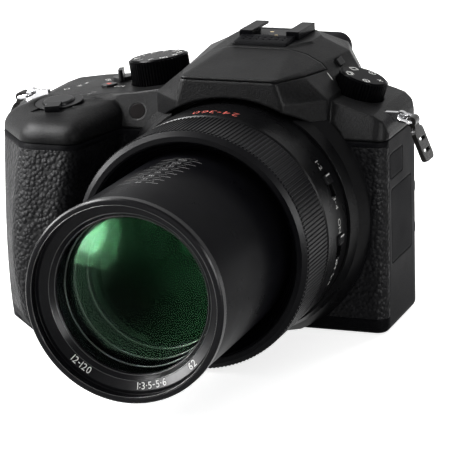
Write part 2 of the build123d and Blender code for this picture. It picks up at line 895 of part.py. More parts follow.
def flash_key_frame():
    return leaning(flank_half(flash_key_y, flash_key_z), flash_key_y, flash_key_z, flash_key_lean_x,
                   flash_key_lean_y)


def diopter_frame():
    run, draw = eyepiece_y - hump_hip_y, hump_foot_half - hump_back_half
    x = hump_foot_half - draw * (diopter_y - hump_hip_y) / run
    return Plane(origin=(x, diopter_y, diopter_z), x_dir=(0, 0, 1), z_dir=(run, draw, 0))


def lamp_frame():
    return Plane(origin=(lamp_x, lamp_y, lamp_z), x_dir=(1, 0, 0),
                 z_dir=(0, -cos(radians(lamp_tilt)), sin(radians(lamp_tilt))))


def cup(frame, radius, floor, sink):
    """A seat for a dial, cut into the cover, and the wall that stands round it inside."""
    well = frame * cylinder(radius + dial_gap, -sink, total_height)
    lining = frame * cylinder(radius + dial_gap + cup_wall, -sink - floor, total_height)
    bore = frame * cylinder(spindle_radius + running_fit, -sink - floor - overrun, total_height)
    return lining, well, bore


def shoe_recess():
    return block(-shoe_outer / 2, shoe_outer / 2, shoe_front_y, shoe_front_y + shoe_length,
                 shoe_top_z - shoe_base, total_height)


def lug_blank(side, x, y, gap=0.0):
    head = along_y(Pos(x, lug_z) * Circle(lug_head), y - lug_thickness / 2, y + lug_thickness / 2)
    root = x - side * lug_root
    low, high = min(x, root), max(x, root)
    return head + block(low, high, y - lug_thickness / 2, y + lug_thickness / 2, lug_z - lug_half, lug_z + lug_half)


def strap_lugs():
    lugs = []
    for side, x, y in ((1, lug_x_right, lug_y_right), (-1, lug_x_left, lug_y_left)):
        lugs.append(lug_blank(side, x, y) - disc_y(x, lug_z, lug_eye, y - lug_thickness, y + lug_thickness))
    return Compound(lugs)


def top_cover():
    outer = deck_form(0) + grip_top_form(0) + hump_form(0)
    hump_inside = hump_form(wall)
    hump_inside = hump_inside - block(-hump_foot_half, hump_foot_half, back_y - wall, eyepiece_y, 0, seam_z + wall)
    hump_inside = hump_inside - lens_disc(arch_radius + wall, visor_y - overrun, front_y + wall)
    cover = outer - deck_form(wall) - grip_top_form(wall) - hump_inside
    bulk = block(-hump_foot_half, hump_foot_half, bulkhead_y, bulkhead_y + bulkhead, flash_box_low, ridge_z - wall / 2)
    cover = cover + common(bulk, hump_form(wall / 2))
    shutter = shutter_frame()
    wells = [cup(mode_frame(), mode_radius, cup_floor, mode_sink),
             cup(drive_frame(), drive_radius, cup_floor, slip),
             cup(shutter, lever_radius, shutter_cup, shutter_sink)]
    for lining, well, bore in wells:
        cover = cover + common(lining, outer)
    axle_boss = Pos(rear_dial_x, back_y + rear_dial_proud - rear_dial_radius) * cylinder(
        rear_dial_boss, rear_dial_high + joint_line, deck_z(rear_dial_x) - wall / 2)
    cover = cover + axle_boss
    for lining, well, bore in wells:
        cover = cover - well - bore
    notch = sector(tab_reach + tab_gap, lever_radius - tab_gap, tab_turn - tab_sweep, tab_turn + tab_sweep)
    cover = cover - shutter * along_z(notch, tab_low - tab_gap, overrun * 3)
    lever = lever_frame()
    cover = cover - lever * cylinder(lever_hub + joint_line, -lever_hub_sink, total_height)
    cover = cover - lever * cylinder(rear_dial_axle + running_fit, -spindle_length, total_height)
    cover = cover - movie_frame() * cylinder(movie_radius + joint_line, -wall * 2, wall * 2)
    cover = cover - flash_key_frame() * Box(flash_key_high + joint_line * 2, flash_key_long + joint_line * 2, wall * 4)
    cover = cover - Pos(rear_dial_x, back_y + rear_dial_proud - rear_dial_radius) * (
        cylinder(rear_dial_radius + slip, rear_dial_low - slip, rear_dial_high + joint_line)
        + cylinder(rear_dial_axle + running_fit, rear_dial_low, deck_z(rear_dial_x) - wall))
    cover = cover - lamp_frame() * cylinder(lamp_radius, -lamp_depth, overrun)
    cover = cover - plate_y(-eye_half, eye_half, eye_z0, eye_z1, back_y, eyepiece_y + overrun, hump_round)
    cover = cover - diopter_frame() * cylinder(diopter_radius + joint_line, -diopter_sink, overrun)
    cover = cover - shoe_recess()
    cover = cover - block(-mic_half, mic_half, mic_y_front, mic_y_back, mic_low_z, total_height)
    for side, x, y in ((1, lug_x_right, lug_y_right), (-1, lug_x_left, lug_y_left)):
        cover = cover - lug_blank(side, x, y)
    cover = cover - lid_zone(slip)
    side = flash_box_half + slip
    cover = cover - block(-side, side, visor_y + wall, flash_box_y1 + slip, flash_box_low - joint_line, total_height)
    cover = cover - lens_disc(arch_radius, visor_y - overrun, front_y)
    return cover - lens_disc(neck_radius + running_fit, front_y - overrun, front_y + housing + overrun)


def mode_dial():
    knob = Pos(0, 0, -mode_sink + joint_line) * knurled(mode_radius, mode_height + mode_sink - joint_line, mode_teeth,
                                                        dial_rib, dial_bevel)
    return mode_frame() * (knob + cylinder(spindle_radius, -mode_sink - spindle_length, joint_line - mode_sink))


def drive_dial():
    knob = knurled(drive_radius, drive_height, drive_teeth, dial_rib, dial_bevel)
    return drive_frame() * (knob + cylinder(spindle_radius, -spindle_length, 0))


def power_lever():
    hub = cylinder(lever_hub, joint_line - lever_hub_sink, lever_hub_top)
    fin = Pos(fin_reach / 2, 0, (joint_line * 2 + fin_top) / 2) * Box(fin_reach, fin_width, fin_top - joint_line * 2)
    fin = fin + Pos(fin_reach, 0, 0) * cylinder(fin_width / 2, joint_line * 2, fin_top)
    lever = hub + Rot(0, 0, fin_turn) * fin + cylinder(rear_dial_axle, -spindle_length + joint_line, joint_line)
    return lever_frame() * lever


def movie_button():
    cap = cylinder(movie_radius, -wall - slip, key_proud)
    return movie_frame() * (cap + cylinder(movie_radius + button_flange, -wall - slip * 2 - button_flange,
                                           -wall - slip * 2)
                            + cylinder(movie_radius, -wall - slip * 3, -wall))


def shutter_button():
    button = cylinder(shutter_radius, shutter_low, shutter_top)
    button = fillet(button.edges().group_by(Axis.Z)[-1], shutter_radius / 6)
    return shutter_frame() * (button + cylinder(shutter_stem, -shutter_stem_length, shutter_low))


def zoom_lever():
    ring = cylinder(lever_radius, ring_low, ring_top) - cylinder(shutter_radius + ring_bore_gap, ring_low, ring_top)
    reach = tab_reach - lever_radius
    tab = Pos(lever_radius + (reach - edge_round) / 2, 0, (tab_low + tab_top) / 2) * Box(
        reach + edge_round, tab_width, tab_top - tab_low)
    for k in range(tab_ribs):
        y = tab_width * ((k + 0.5) / tab_ribs - 0.5)
        tab = tab + Pos(tab_reach - dial_rib, y, tab_low) * Cylinder(
            tab_width / tab_ribs / 3, tab_top - tab_low, align=(Align.CENTER, Align.CENTER, Align.MIN))
    return shutter_frame() * (ring + Rot(0, 0, tab_turn) * tab)


def rear_dial():
    wheel = knurled(rear_dial_radius, rear_dial_high - rear_dial_low, rear_dial_teeth, dial_rib, dial_bevel)
    wheel = Pos(0, 0, rear_dial_low) * wheel
    axle = cylinder(rear_dial_axle, rear_dial_high - joint_line, rear_dial_high + spindle_length / 2)
    return Pos(rear_dial_x, back_y + rear_dial_proud - rear_dial_radius) * (wheel + axle)


def af_lamp():
    return lamp_frame() * cylinder(lamp_radius, -lamp_depth, 0)


def eyepiece_lens():
    back = eyepiece_y - wall
    return plate_y(-eye_half - eye_lens_margin, eye_half + eye_lens_margin, eye_z0 - eye_lens_margin,
                   eye_z1 + eye_lens_margin, back - eye_lens_thickness, back, hump_round)


def eyecup():
    body = plate_y(-cup_half, cup_half, cup_z0, cup_z1, eyepiece_y, eyecup_back_y, cup_round)
    body = fillet(body.edges().group_by(Axis.Y)[-1], cup_edge)
    return body - plate_y(-cup_mouth_half, cup_mouth_half, cup_mouth_z0, cup_mouth_z1, eyepiece_y - overrun,
                          eyecup_back_y + overrun, cup_round / 2)


def diopter_dial():
    knob = knurled(diopter_radius, diopter_sink + diopter_proud - joint_line, diopter_teeth, dial_rib, dial_bevel)
    return diopter_frame() * (Pos(0, 0, joint_line - diopter_sink) * knob)


def flash_button():
    depth = flash_key_proud + wall
    body = Pos(0, 0, (flash_key_proud - wall) / 2) * Box(flash_key_high, flash_key_long, depth)
    drop = wall + slip * 4
    neck = Pos(0, 0, -drop / 2) * Box(flash_key_high, flash_key_long, drop)
    flange = Pos(0, 0, -drop) * Box(flash_key_high + button_flange * 2, flash_key_long + button_flange * 2, slip)
    return flash_key_frame() * (body + neck + flange)


def flash_head(window):
    inside = hump_form(wall)
    lid = common(hump_form(0), lid_zone(0)) - inside
    box = block(-flash_box_half, flash_box_half, flash_box_y0, flash_box_y1, flash_box_low, ridge_z)
    return lid + common(box, hump_form(wall / 2)) - window


def flash_window():
    return plate_y(-flash_window_half, flash_window_half, flash_window_z0, flash_window_z1,
                   flash_box_y0 - flash_window_thickness, flash_box_y0, door_round)


def mic_grille():
    points = [(mic_y_front, mic_low_z), (mic_y_back, mic_low_z), (mic_y_back, mic_high_z), (mic_y_nose, mic_nose_z)]
    cap = along_x(outline(points, [0] * len(points)), -mic_half, mic_half)
    columns = int(mic_half * 2 / mic_hole_step) - 1
    for k in range(columns):
        for row in range(2):
            x = (k - (columns - 1) / 2) * mic_hole_step
            y = (mic_y_nose + mic_y_back) / 2 + (row - 0.5) * mic_hole_step
            cap = cap - Pos(x, y) * cylinder(mic_hole, mic_high_z - mic_hole_depth * 1.5, total_height)
    return cap


def hot_shoe():
    half, back = shoe_outer / 2, shoe_front_y + shoe_length
    base_low = shoe_top_z - shoe_base
    shoe = block(-half, half, shoe_front_y, back, base_low, total_height)
    slot_top = shoe_top_z + shoe_gap
    front = shoe_front_y + shoe_lip
    shoe = shoe - block(-shoe_slot / 2, shoe_slot / 2, front, back + overrun, shoe_top_z, slot_top)
    shoe = shoe - block(-shoe_mouth / 2, shoe_mouth / 2, shoe_front_y - overrun, back + overrun, shoe_top_z,
                        total_height + overrun)
    for x, y in contact_places:
        shoe = shoe - Pos(x, y) * cylinder(contact_radius, base_low, shoe_top_z)
    return shoe


def shoe_contacts():
    low = shoe_top_z - shoe_base
    return Compound([Pos(x, y) * cylinder(contact_radius, low, shoe_top_z) for x, y in contact_places])


def hang(tilt, side):
    """The downward direction of a hanging piece that leans outwards."""
    return side * sin(radians(tilt)), -cos(radians(tilt))


def hanging_frame(x, y, z, tilt, side):
    """A frame whose X runs down the piece and whose Y runs along the hinge."""
    dx, dz = hang(tilt, side)
    return Plane(origin=(x, y, z), x_dir=(dx, 0, dz), z_dir=(-dz * side, 0, dx * side))


def strap_ring(side, x, y):
    half = ring_width / 2
    corners = [(0, -half), (ring_length, -half), (ring_length, half), (0, half)]
    path = FilletPolyline(*corners, radius=ring_round, close=True)
    start = Plane(origin=path @ 0, z_dir=path % 0)
    ring = sweep(start * Circle(wire), path=path, transition=Transition.ROUND)
    return hanging_frame(x, y, lug_z, ring_tilt, side) * ring


def ring_end(side, x):
    dx, dz = hang(ring_tilt, side)
    return x + dx * ring_length, lug_z + dz * ring_length


def strap_tab(side, x, y):
    end_x, end_z = ring_end(side, x)
    neck = Rot(90, 0, 0) * Cylinder(neck_tab_radius, neck_tab_width)
    stem = Pos(tab_plate_start / 2, 0, 0) * Box(tab_plate_start + edge_round, neck_tab_width, tab_plate_thickness)
    middle = tab_plate_start + tab_plate_length / 2
    half = tab_plate_thickness / 2
    plate = extrude(Plane.XY.offset(-half) * Pos(middle, 0) * RectangleRounded(
        tab_plate_length, tab_plate_width, tab_plate_round), amount=tab_plate_thickness)
    tab = neck + stem + plate - Rot(90, 0, 0) * Cylinder(wire + neck_tab_bore_gap, neck_tab_width * 2)
    for share in (0.35, 0.7):
        tab = tab - Pos(tab_plate_start + tab_plate_length * share, 0) * Box(
            tab_slot_high, tab_slot_long, tab_plate_thickness * 2)
    return hanging_frame(end_x, y, end_z, tab_tilt, side) * tab


# Lens barrel, from the mount out to the front rim
collar_front_radius = 41.6
collar_bore = barrel_radius + running_fit
sleeve_front_y = -73.0
edge_bevel = 0.5
key_height = 0.75
key_gap = 0.2
key_angles = (90.0, 210.0, 330.0)
key_wide = 4.0
pad_angle = 40.0
pad_length = 4.0
pad_back_y = mount_y0 - zoom_travel
pad_front_y = pad_back_y - pad_length
baffle_flange_radius = 37.5
baffle_flange_y = -74.7
baffle_back_y = -66.0
baffle_steps = 4
ring_lip_radius = 37.0
ring_lip_depth = 0.8
ring_bevel = 1.2
spigot_radius = 31.6
spigot_back_y = rim_front_y + 7.6
thread_back_y = rim_front_y + filter_depth
name_ring_outer, name_ring_inner = 29.8, 26.9
name_ring_drop = 1.2
front_seat_radius = 28.0
front_seat_y = rim_front_y + 13.1
front_stop_radius = 26.6
front_stop_y = rim_front_y + 14.6
front_apex_y = rim_front_y + 4.8
front_flange_y = rim_front_y + 11.1
second_radius = 22.0
second_y0, second_y1 = rim_front_y + 31.1, rim_front_y + 35.1
second_stop_radius = 20.5
second_stop_y = rim_front_y + 36.3
second_bulge = 1.8
slider_inner_radius = 39.3
slider_proud_radius = 41.5
slider_floor_radius = 39.1
slider_y0, slider_y1 = -43.2, -38.6
slider_gap = 0.2
focus_slot = (17.4, 29.6)
focus_slider = (24.2, 28.6)
stabiliser_slot = (-12.2, -0.6)
stabiliser_slider = (-5.4, -1.0)


def lens_sector(outer, inner, near, far, low, high):
    """The part of a tube about the lens axis between two angles, counted up from +X."""
    return along_y(Pos(0, axis_z) * sector(outer, inner, low, high), near, far)


def lens_collar():
    middle_y = (front_y + front_y - collar_length) / 2
    middle = collar_front_radius + (collar_radius - collar_front_radius) / 3
    ring = lens_turned([(collar_bore, front_y), (collar_bore, front_y - collar_length),
                        (collar_front_radius, front_y - collar_length), (middle, middle_y), (collar_radius, front_y)])
    ring = ring - hump_form(0) - outer_low
    return ring - region(None, None, None, None, None, 0)


def slider_slot(slot):
    low, high = slot
    return lens_sector(collar_radius, slider_floor_radius, slider_y0 - slider_gap, slider_y1 + slider_gap, low, high)


def fixed_barrel():
    barrel = lens_turned([
        (sleeve_bore, sleeve_front_y), (sleeve_radius, sleeve_front_y), (sleeve_radius, barrel_front_y),
        (barrel_radius - edge_bevel, barrel_front_y), (barrel_radius, barrel_front_y + edge_bevel),
        (barrel_radius, front_y), (neck_radius, front_y), (neck_radius, front_y + neck_depth),
        (sleeve_bore, front_y + neck_depth)])
    width = degrees(key_wide / sleeve_bore) + key_gap
    for angle in key_angles:
        barrel = barrel - lens_sector(sleeve_bore + key_height + key_gap, inner_radius, pad_front_y - key_gap,
                                      0, angle - width / 2, angle + width / 2)
    return barrel - slider_slot(focus_slot) - slider_slot(stabiliser_slot)


def slider(span):
    low, high = span
    body = lens_sector(slider_proud_radius, slider_inner_radius, slider_y0, slider_y1, low, high)
    for share in (0.3, 0.5, 0.7):
        angle = low + (high - low) * share
        body = body - lens_sector(collar_radius, slider_proud_radius - slider_gap * 1.5, slider_y0 - slider_gap,
                                  slider_y1 + slider_gap, angle - slider_gap, angle + slider_gap)
    return body


def zoom_ring():
    """The ribbed ring that turns on the fixed sleeve."""
    back = barrel_front_y - slip
    core = lens_turned([
        (sleeve_radius + running_fit, back), (barrel_radius - edge_bevel, back),
        (barrel_radius - rib_height / 2, back - edge_bevel), (barrel_radius - rib_height / 2, ring_front_y + ring_bevel),
        (barrel_radius - rib_height - ring_bevel, ring_front_y), (ring_lip_radius, ring_front_y),
        (ring_lip_radius, ring_front_y + ring_lip_depth), (sleeve_radius + running_fit, ring_front_y + ring_lip_depth)])
    step = 2 * pi / ring_ribs
    points = []
    for k in range(ring_ribs):
        for share, radius in ((0.0, barrel_radius - rib_height), (0.22, barrel_radius), (0.62, barrel_radius)):
            angle = (k + share) * step
            points.append((radius * cos(angle), radius * sin(angle)))
    ribs = make_face(Polyline(*points, close=True)) - Circle(ring_wall_radius)
    return core + along_y(Pos(0, axis_z) * ribs, ring_front_y + ring_bevel + edge_bevel, back - edge_bevel * 2)


def barrel_baffle():
    """Stepped ring that closes the gap in front of the sleeve."""
    front = [(baffle_flange_radius, sleeve_front_y), (baffle_flange_radius, baffle_flange_y)]
    bore = inner_radius + running_fit
    for k in range(baffle_steps):
        share, after = k / baffle_steps, (k + 1) / baffle_steps
        y = baffle_flange_y + (baffle_back_y - baffle_flange_y) * share
        y_after = baffle_flange_y + (baffle_back_y - baffle_flange_y) * after
        radius = baffle_flange_radius - rib_height + (bore - baffle_flange_radius + rib_height) * after
        front += [(radius + rib_height, y), (radius, y_after - edge_bevel)]
    front += [(bore, baffle_back_y), (sleeve_bore, baffle_back_y), (sleeve_bore, sleeve_front_y)]
    return lens_turned(front)


def inner_barrel():
    front_y_tube = rim_front_y + rim_length
    inside = inner_radius - inner_wall
    tube = lens_turned([
        (spigot_radius, front_y_tube), (inner_radius, front_y_tube), (inner_radius, pad_back_y),
        (inside, pad_back_y), (inside, second_stop_y), (second_stop_radius, second_stop_y),
        (second_stop_radius, second_y1), (second_radius, second_y1), (second_radius, second_y0),
        (inside, second_y0), (inside, front_stop_y), (front_stop_radius, front_stop_y),
        (front_stop_radius, front_seat_y), (front_seat_radius, front_seat_y), (front_seat_radius, spigot_back_y),
        (spigot_radius, spigot_back_y)])
    width = degrees(key_wide / sleeve_bore)
    for angle in key_angles:
        tube = tube + lens_sector(sleeve_bore - running_fit, inside, pad_front_y, pad_back_y,
                                  angle - pad_angle / 2, angle + pad_angle / 2)
        tube = tube + lens_sector(sleeve_bore + key_height, inside, pad_front_y, pad_back_y,
                                  angle - width / 2, angle + width / 2)
    return tube


def front_rim():
    """The rim with the filter thread and the stepped ring round the glass."""
    return lens_turned([
        (filter_radius, rim_front_y), (rim_radius - edge_bevel, rim_front_y), (rim_radius, rim_front_y + edge_bevel),
        (rim_radius, rim_front_y + rim_length), (spigot_radius, rim_front_y + rim_length),
        (spigot_radius, spigot_back_y), (glass_radius, spigot_back_y), (glass_radius, spigot_back_y - edge_bevel),
        (name_ring_inner, thread_back_y + name_ring_drop), (name_ring_outer, thread_back_y),
        (filter_radius, thread_back_y)])


def lens_glass(points, arcs):
    """A turned lens element. An arc runs between the corners whose numbers are in arcs."""
    edges = []
    for k, start in enumerate(points):
        end = points[(k + 1) % len(points)]
        if k in arcs:
            edges.append(ThreePointArc(start, arcs[k], end))
        else:
            edges.append(Line(start, end))
    return Pos(0, 0, axis_z) * revolve(Plane.XY * make_face(edges), Axis.Y)


def arc_middle(radius, edge_y, apex_y):
    """The point half way out on a shallow arc."""
    return radius / 2, apex_y + (edge_y - apex_y) / 4


def front_lens():
    seated = front_seat_radius - seat_fit
    return lens_glass([(0, front_apex_y), (glass_radius, spigot_back_y), (seated, spigot_back_y),
                       (seated, front_flange_y), (front_stop_radius, front_seat_y), (0, front_seat_y)],
                      {0: arc_middle(glass_radius, spigot_back_y, front_apex_y)})


def second_lens():
    seated = second_radius - seat_fit
    return lens_glass([(0, second_y0 - second_bulge), (seated, second_y0), (seated, second_y1), (0, second_y1)],
                      {0: arc_middle(seated, second_y0, second_y0 - second_bulge)})


def rear_lens():
    seated = rear_lens_radius - seat_fit
    return lens_glass([(0, rear_lens_y0 - rear_lens_bulge), (seated, rear_lens_y0), (seated, rear_lens_y1),
                       (0, rear_lens_y1)],
                      {0: arc_middle(seated, rear_lens_y0, rear_lens_y0 - rear_lens_bulge)})


thumb = common(outer_low - middle_low, region(None, thumb_x1, split_y, None, thumb_z0, thumb_z1))
rubber = grip_rubber()
panel = front_panel()
window = flash_window()

nodes = {
    "base_plate": base_plate(),
    "tripod_bush": tripod_bush(),
    "base_screws": base_screws(),
    "battery_door": battery_door(),
    "battery_latch": battery_latch(),
    "battery_bay": battery_bay(),
    "battery": battery(),
    "front_cover": front_cover(rubber, panel),
    "grip_rubber": rubber,
    "front_panel": panel,
    "rear_cover": rear_cover(thumb),
    "thumb_rest": thumb,
    "hinge_pin": Pos(swing_x, swing_y) * pin_z(pin_radius, hinge_z - hinge_half, hinge_z + hinge_half),
    "screen": screen_panel(),
    "screen_glass": screen_glass(),
    "control_wheel": control_wheel(),
    "menu_set_button": menu_set_button(),
    "terminal_door": terminal_door(),
    "microphone_door": mic_door(),
    "top_cover": top_cover(),
    "shutter_button": shutter_button(),
    "zoom_lever": zoom_lever(),
    "mode_dial": mode_dial(),
    "power_lever": power_lever(),
    "movie_button": movie_button(),
    "drive_dial": drive_dial(),
    "rear_dial": rear_dial(),
    "flash_button": flash_button(),
    "flash_head": flash_head(window),
    "flash_window": window,
    "microphone_grille": mic_grille(),
    "hot_shoe": hot_shoe(),
    "shoe_contacts": shoe_contacts(),
    "eyepiece_lens": eyepiece_lens(),
    "eyecup": eyecup(),
    "diopter_dial": diopter_dial(),
    "focus_lamp": af_lamp(),
    "strap_lugs": strap_lugs(),
    "strap_ring_right": strap_ring(1, lug_x_right, lug_y_right),
    "strap_ring_left": strap_ring(-1, lug_x_left, lug_y_left),
    "strap_tab_right": strap_tab(1, lug_x_right, lug_y_right),
    "strap_tab_left": strap_tab(-1, lug_x_left, lug_y_left),
    "lens_collar": lens_collar(),
    "fixed_barrel": fixed_barrel(),
    "focus_switch": slider(focus_slider),
    "stabiliser_switch": slider(stabiliser_slider),
    "zoom_ring": zoom_ring(),
    "barrel_baffle": barrel_baffle(),
    "inner_barrel": inner_barrel(),
    "front_rim": front_rim(),
    "front_lens": front_lens(),
    "second_lens": second_lens(),
    "rear_lens": rear_lens(),
    "sensor_mount": sensor_mount(),
    "image_sensor": image_sensor(),
    "main_board": main_board(),
}
for name, place in key_places.items():
    nodes[name] = key(place)

for name, shape in nodes.items():
    export_step(shape, f"parts/{name}.step")
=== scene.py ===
import json
from math import cos, degrees, pi, radians, sin

import bpy
from mathutils import Matrix, Vector
from mathutils.bvhtree import BVHTree

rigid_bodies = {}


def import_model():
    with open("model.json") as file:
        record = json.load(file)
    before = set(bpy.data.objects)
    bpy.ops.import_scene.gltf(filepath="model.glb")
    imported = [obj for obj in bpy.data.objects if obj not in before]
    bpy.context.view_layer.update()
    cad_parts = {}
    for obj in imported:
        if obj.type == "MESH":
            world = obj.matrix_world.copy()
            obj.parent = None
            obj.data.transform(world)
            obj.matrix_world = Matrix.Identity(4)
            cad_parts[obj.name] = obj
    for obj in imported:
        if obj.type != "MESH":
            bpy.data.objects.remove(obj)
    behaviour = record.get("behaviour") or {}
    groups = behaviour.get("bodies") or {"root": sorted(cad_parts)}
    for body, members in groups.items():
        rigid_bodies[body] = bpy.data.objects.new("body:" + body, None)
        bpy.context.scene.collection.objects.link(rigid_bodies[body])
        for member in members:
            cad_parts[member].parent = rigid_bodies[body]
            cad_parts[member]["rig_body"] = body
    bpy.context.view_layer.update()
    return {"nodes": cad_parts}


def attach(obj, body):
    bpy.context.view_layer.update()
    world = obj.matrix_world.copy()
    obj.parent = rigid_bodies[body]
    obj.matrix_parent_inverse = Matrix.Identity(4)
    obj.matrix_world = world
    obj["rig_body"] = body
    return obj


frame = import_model()
nodes = frame["nodes"]

MM = 0.001

# Places on the part, in millimetres, as in the CAD
AXIS_Z = 41.2
BARREL_R = 40.6
TUBE_R = 32.2
SWITCH_Y = -40.9
NAME_RING_R = 28.35
NAME_RING_Y = -129.5
DECK_Z = 79.0

# Where the wide rounding of the grip's dome begins and where it is full, in metres
GRIP_X = (-0.046, -0.054)
GRIP_Y = (-0.004, -0.016)

# The view of the photograph, in metres and pixels
CAMERA_AT = (0.289597, -0.829941, 0.270071)
CAMERA_RIGHT = (0.940787, 0.338016, -0.025794)
CAMERA_UP = (-0.065498, 0.255899, 0.964482)
CAMERA_BACK = (0.332611, -0.905683, 0.262885)
FRAME_PIXELS = 450
FOCAL_PIXELS = 2568.19
SENSOR_MM = 36.0
CLIP_NEAR = 0.05
CLIP_FAR = 50.0

# Ink: how far it lies above a surface, how far off that surface is looked for, and its colours
INK_LIFT = 0.04 * MM
REACH = 6 * MM
INK_WHITE = (0.78, 0.78, 0.76)
INK_RED = (0.70, 0.07, 0.04)
INK_GREY = (0.34, 0.34, 0.34)

# Nearly all values of a noise lie between these two
NOISE_LOW = 0.3
NOISE_HIGH = 0.7

# A colour mix has several sockets of one name, so they are taken by number
MIX_SHARE, MIX_FIRST, MIX_SECOND, MIX_RESULT = 0, 6, 7, 2

BEVEL_SAMPLES = 4
WIDE_BEVEL_SAMPLES = 12


# Shader nodes
def new_material(name):
    mat = bpy.data.materials.new(name)
    mat.use_nodes = True
    tree = mat.node_tree
    shader = tree.nodes["Principled BSDF"]
    return mat, tree, shader


def add(tree, kind, **inputs):
    """A shader node with its sockets set by name."""
    node = tree.nodes.new(kind)
    for key, value in inputs.items():
        node.inputs[key.replace("_", " ")].default_value = value
    return node


def worked_out(tree, kind, operation, sources):
    """A node of sums; a source that is a socket is linked, and any other is a value."""
    node = tree.nodes.new(kind)
    node.operation = operation
    for socket, source in zip(node.inputs, sources):
        if isinstance(source, bpy.types.NodeSocket):
            tree.links.new(source, socket)
        else:
            socket.default_value = source
    return node


def number_math(tree, operation, *sources):
    return worked_out(tree, "ShaderNodeMath", operation, sources).outputs["Value"]


def vector_math(tree, operation, *sources):
    return worked_out(tree, "ShaderNodeVectorMath", operation, sources).outputs["Vector"]


def place_of(tree):
    return tree.nodes.new("ShaderNodeTexCoord").outputs["Object"]


def mapped(tree, source, low_in, high_in, low, high, smooth=False):
    node = add(tree, "ShaderNodeMapRange")
    node.interpolation_type = "SMOOTHSTEP" if smooth else "LINEAR"
    node.inputs["From Min"].default_value = low_in
    node.inputs["From Max"].default_value = high_in
    node.inputs["To Min"].default_value = low
    node.inputs["To Max"].default_value = high
    tree.links.new(source, node.inputs["Value"])
    return node.outputs["Result"]


def noise(tree, size_mm, detail=2.0, roughness=0.55, stretch=None):
    node = add(tree, "ShaderNodeTexNoise", Scale=1.0 / (size_mm * MM), Detail=detail, Roughness=roughness)
    source = place_of(tree)
    if stretch:
        source = vector_math(tree, "MULTIPLY", source, stretch)
    tree.links.new(source, node.inputs["Vector"])
    return node.outputs["Fac"]


def wandering(tree, size_mm, low, high, detail=2.0):
    """A value that wanders between two others in patches of one size."""
    return mapped(tree, noise(tree, size_mm, detail), NOISE_LOW, NOISE_HIGH, low, high)


def cells(tree, size_mm, warp):
    """Rounded cells, pushed about by a share of their size so that they aren't regular."""
    push = add(tree, "ShaderNodeTexNoise", Scale=0.6 / (size_mm * MM), Detail=2.0)
    tree.links.new(place_of(tree), push.inputs["Vector"])
    most = (warp * size_mm * MM,) * 3
    pushed = vector_math(tree, "MULTIPLY_ADD", push.outputs["Color"], most, place_of(tree))
    node = add(tree, "ShaderNodeTexVoronoi", Scale=1.0 / (size_mm * MM))
    tree.links.new(pushed, node.inputs["Vector"])
    return node.outputs["Distance"]


def bump(tree, shader, height, depth_mm, under, strength=1.0):
    """Relief on top of the normals that come from under it."""
    node = add(tree, "ShaderNodeBump", Strength=strength, Distance=depth_mm * MM)
    tree.links.new(height, node.inputs["Height"])
    tree.links.new(under, node.inputs["Normal"])
    tree.links.new(node.outputs["Normal"], shader.inputs["Normal"])
    return node.outputs["Normal"]


def soft_edges(tree, radius_mm, grip_mm=0.0):
    """The small rounding that every moulded edge has; it grows to grip_mm over the grip's dome."""
    node = add(tree, "ShaderNodeBevel", Radius=radius_mm * MM)
    node.samples = WIDE_BEVEL_SAMPLES if grip_mm else BEVEL_SAMPLES
    if grip_mm:
        place = tree.nodes.new("ShaderNodeSeparateXYZ")
        tree.links.new(place_of(tree), place.inputs[0])
        left = mapped(tree, place.outputs["X"], *GRIP_X, 0.0, 1.0)
        front = mapped(tree, place.outputs["Y"], *GRIP_Y, 0.0, 1.0)
        both = number_math(tree, "MULTIPLY", left, front)
        reach = mapped(tree, both, 0.0, 1.0, radius_mm * MM, grip_mm * MM)
        tree.links.new(reach, node.inputs["Radius"])
    return node.outputs["Normal"]


def scaled(colour, share):
    return tuple(c * share for c in colour)


def tinted(tree, shader, source, dark, light, socket="Base Color"):
    """A colour between two others, by a source from 0 to 1."""
    mix = tree.nodes.new("ShaderNodeMix")
    mix.data_type = "RGBA"
    mix.inputs[MIX_FIRST].default_value = (*dark, 1.0)
    mix.inputs[MIX_SECOND].default_value = (*light, 1.0)
    tree.links.new(source, mix.inputs[MIX_SHARE])
    tree.links.new(mix.outputs[MIX_RESULT], shader.inputs[socket])


def from_axis(tree):
    """Distance from the lens axis, in metres."""
    flat = vector_math(tree, "MULTIPLY_ADD", place_of(tree), (1.0, 0.0, 1.0), (0.0, 0.0, -AXIS_Z * MM))
    return worked_out(tree, "ShaderNodeVectorMath", "LENGTH", [flat]).outputs["Value"]


def deepened_normal(tree, radius_mm):
    """A face's normal, leaned as if the face had one more curve of this radius round the lens axis."""
    slope = 1.0 / (radius_mm * MM)
    middle = (0.0, 0.0, -AXIS_Z * MM * slope)
    away = vector_math(tree, "MULTIPLY_ADD", place_of(tree), (slope, 0.0, slope), middle)
    own = tree.nodes.new("ShaderNodeNewGeometry").outputs["Normal"]
    return vector_math(tree, "NORMALIZE", vector_math(tree, "ADD", own, away))


# Materials
def grained_plastic(name, colour, rough, grain_mm=0.45, depth_mm=0.03, spread=0.3, gloss=0.035,
                    grip_mm=0.0):
    """Moulded plastic with a fine spark-eroded grain."""
    edge_mm = 1.2
    mottle_mm = grain_mm * 1.7
    patch_mm = 18.0
    mat, tree, shader = new_material(name)
    shader.inputs["Specular IOR Level"].default_value = gloss
    grain = noise(tree, grain_mm, detail=3.0, roughness=0.6)
    bump(tree, shader, grain, depth_mm, soft_edges(tree, edge_mm, grip_mm))
    mottle = mapped(tree, noise(tree, mottle_mm), 0.35, 0.65, 0.0, 1.0)
    tinted(tree, shader, mottle, scaled(colour, 1 - spread), scaled(colour, 1 + spread))
    tree.links.new(wandering(tree, patch_mm, rough - 0.04, rough + 0.05), shader.inputs["Roughness"])
    return mat


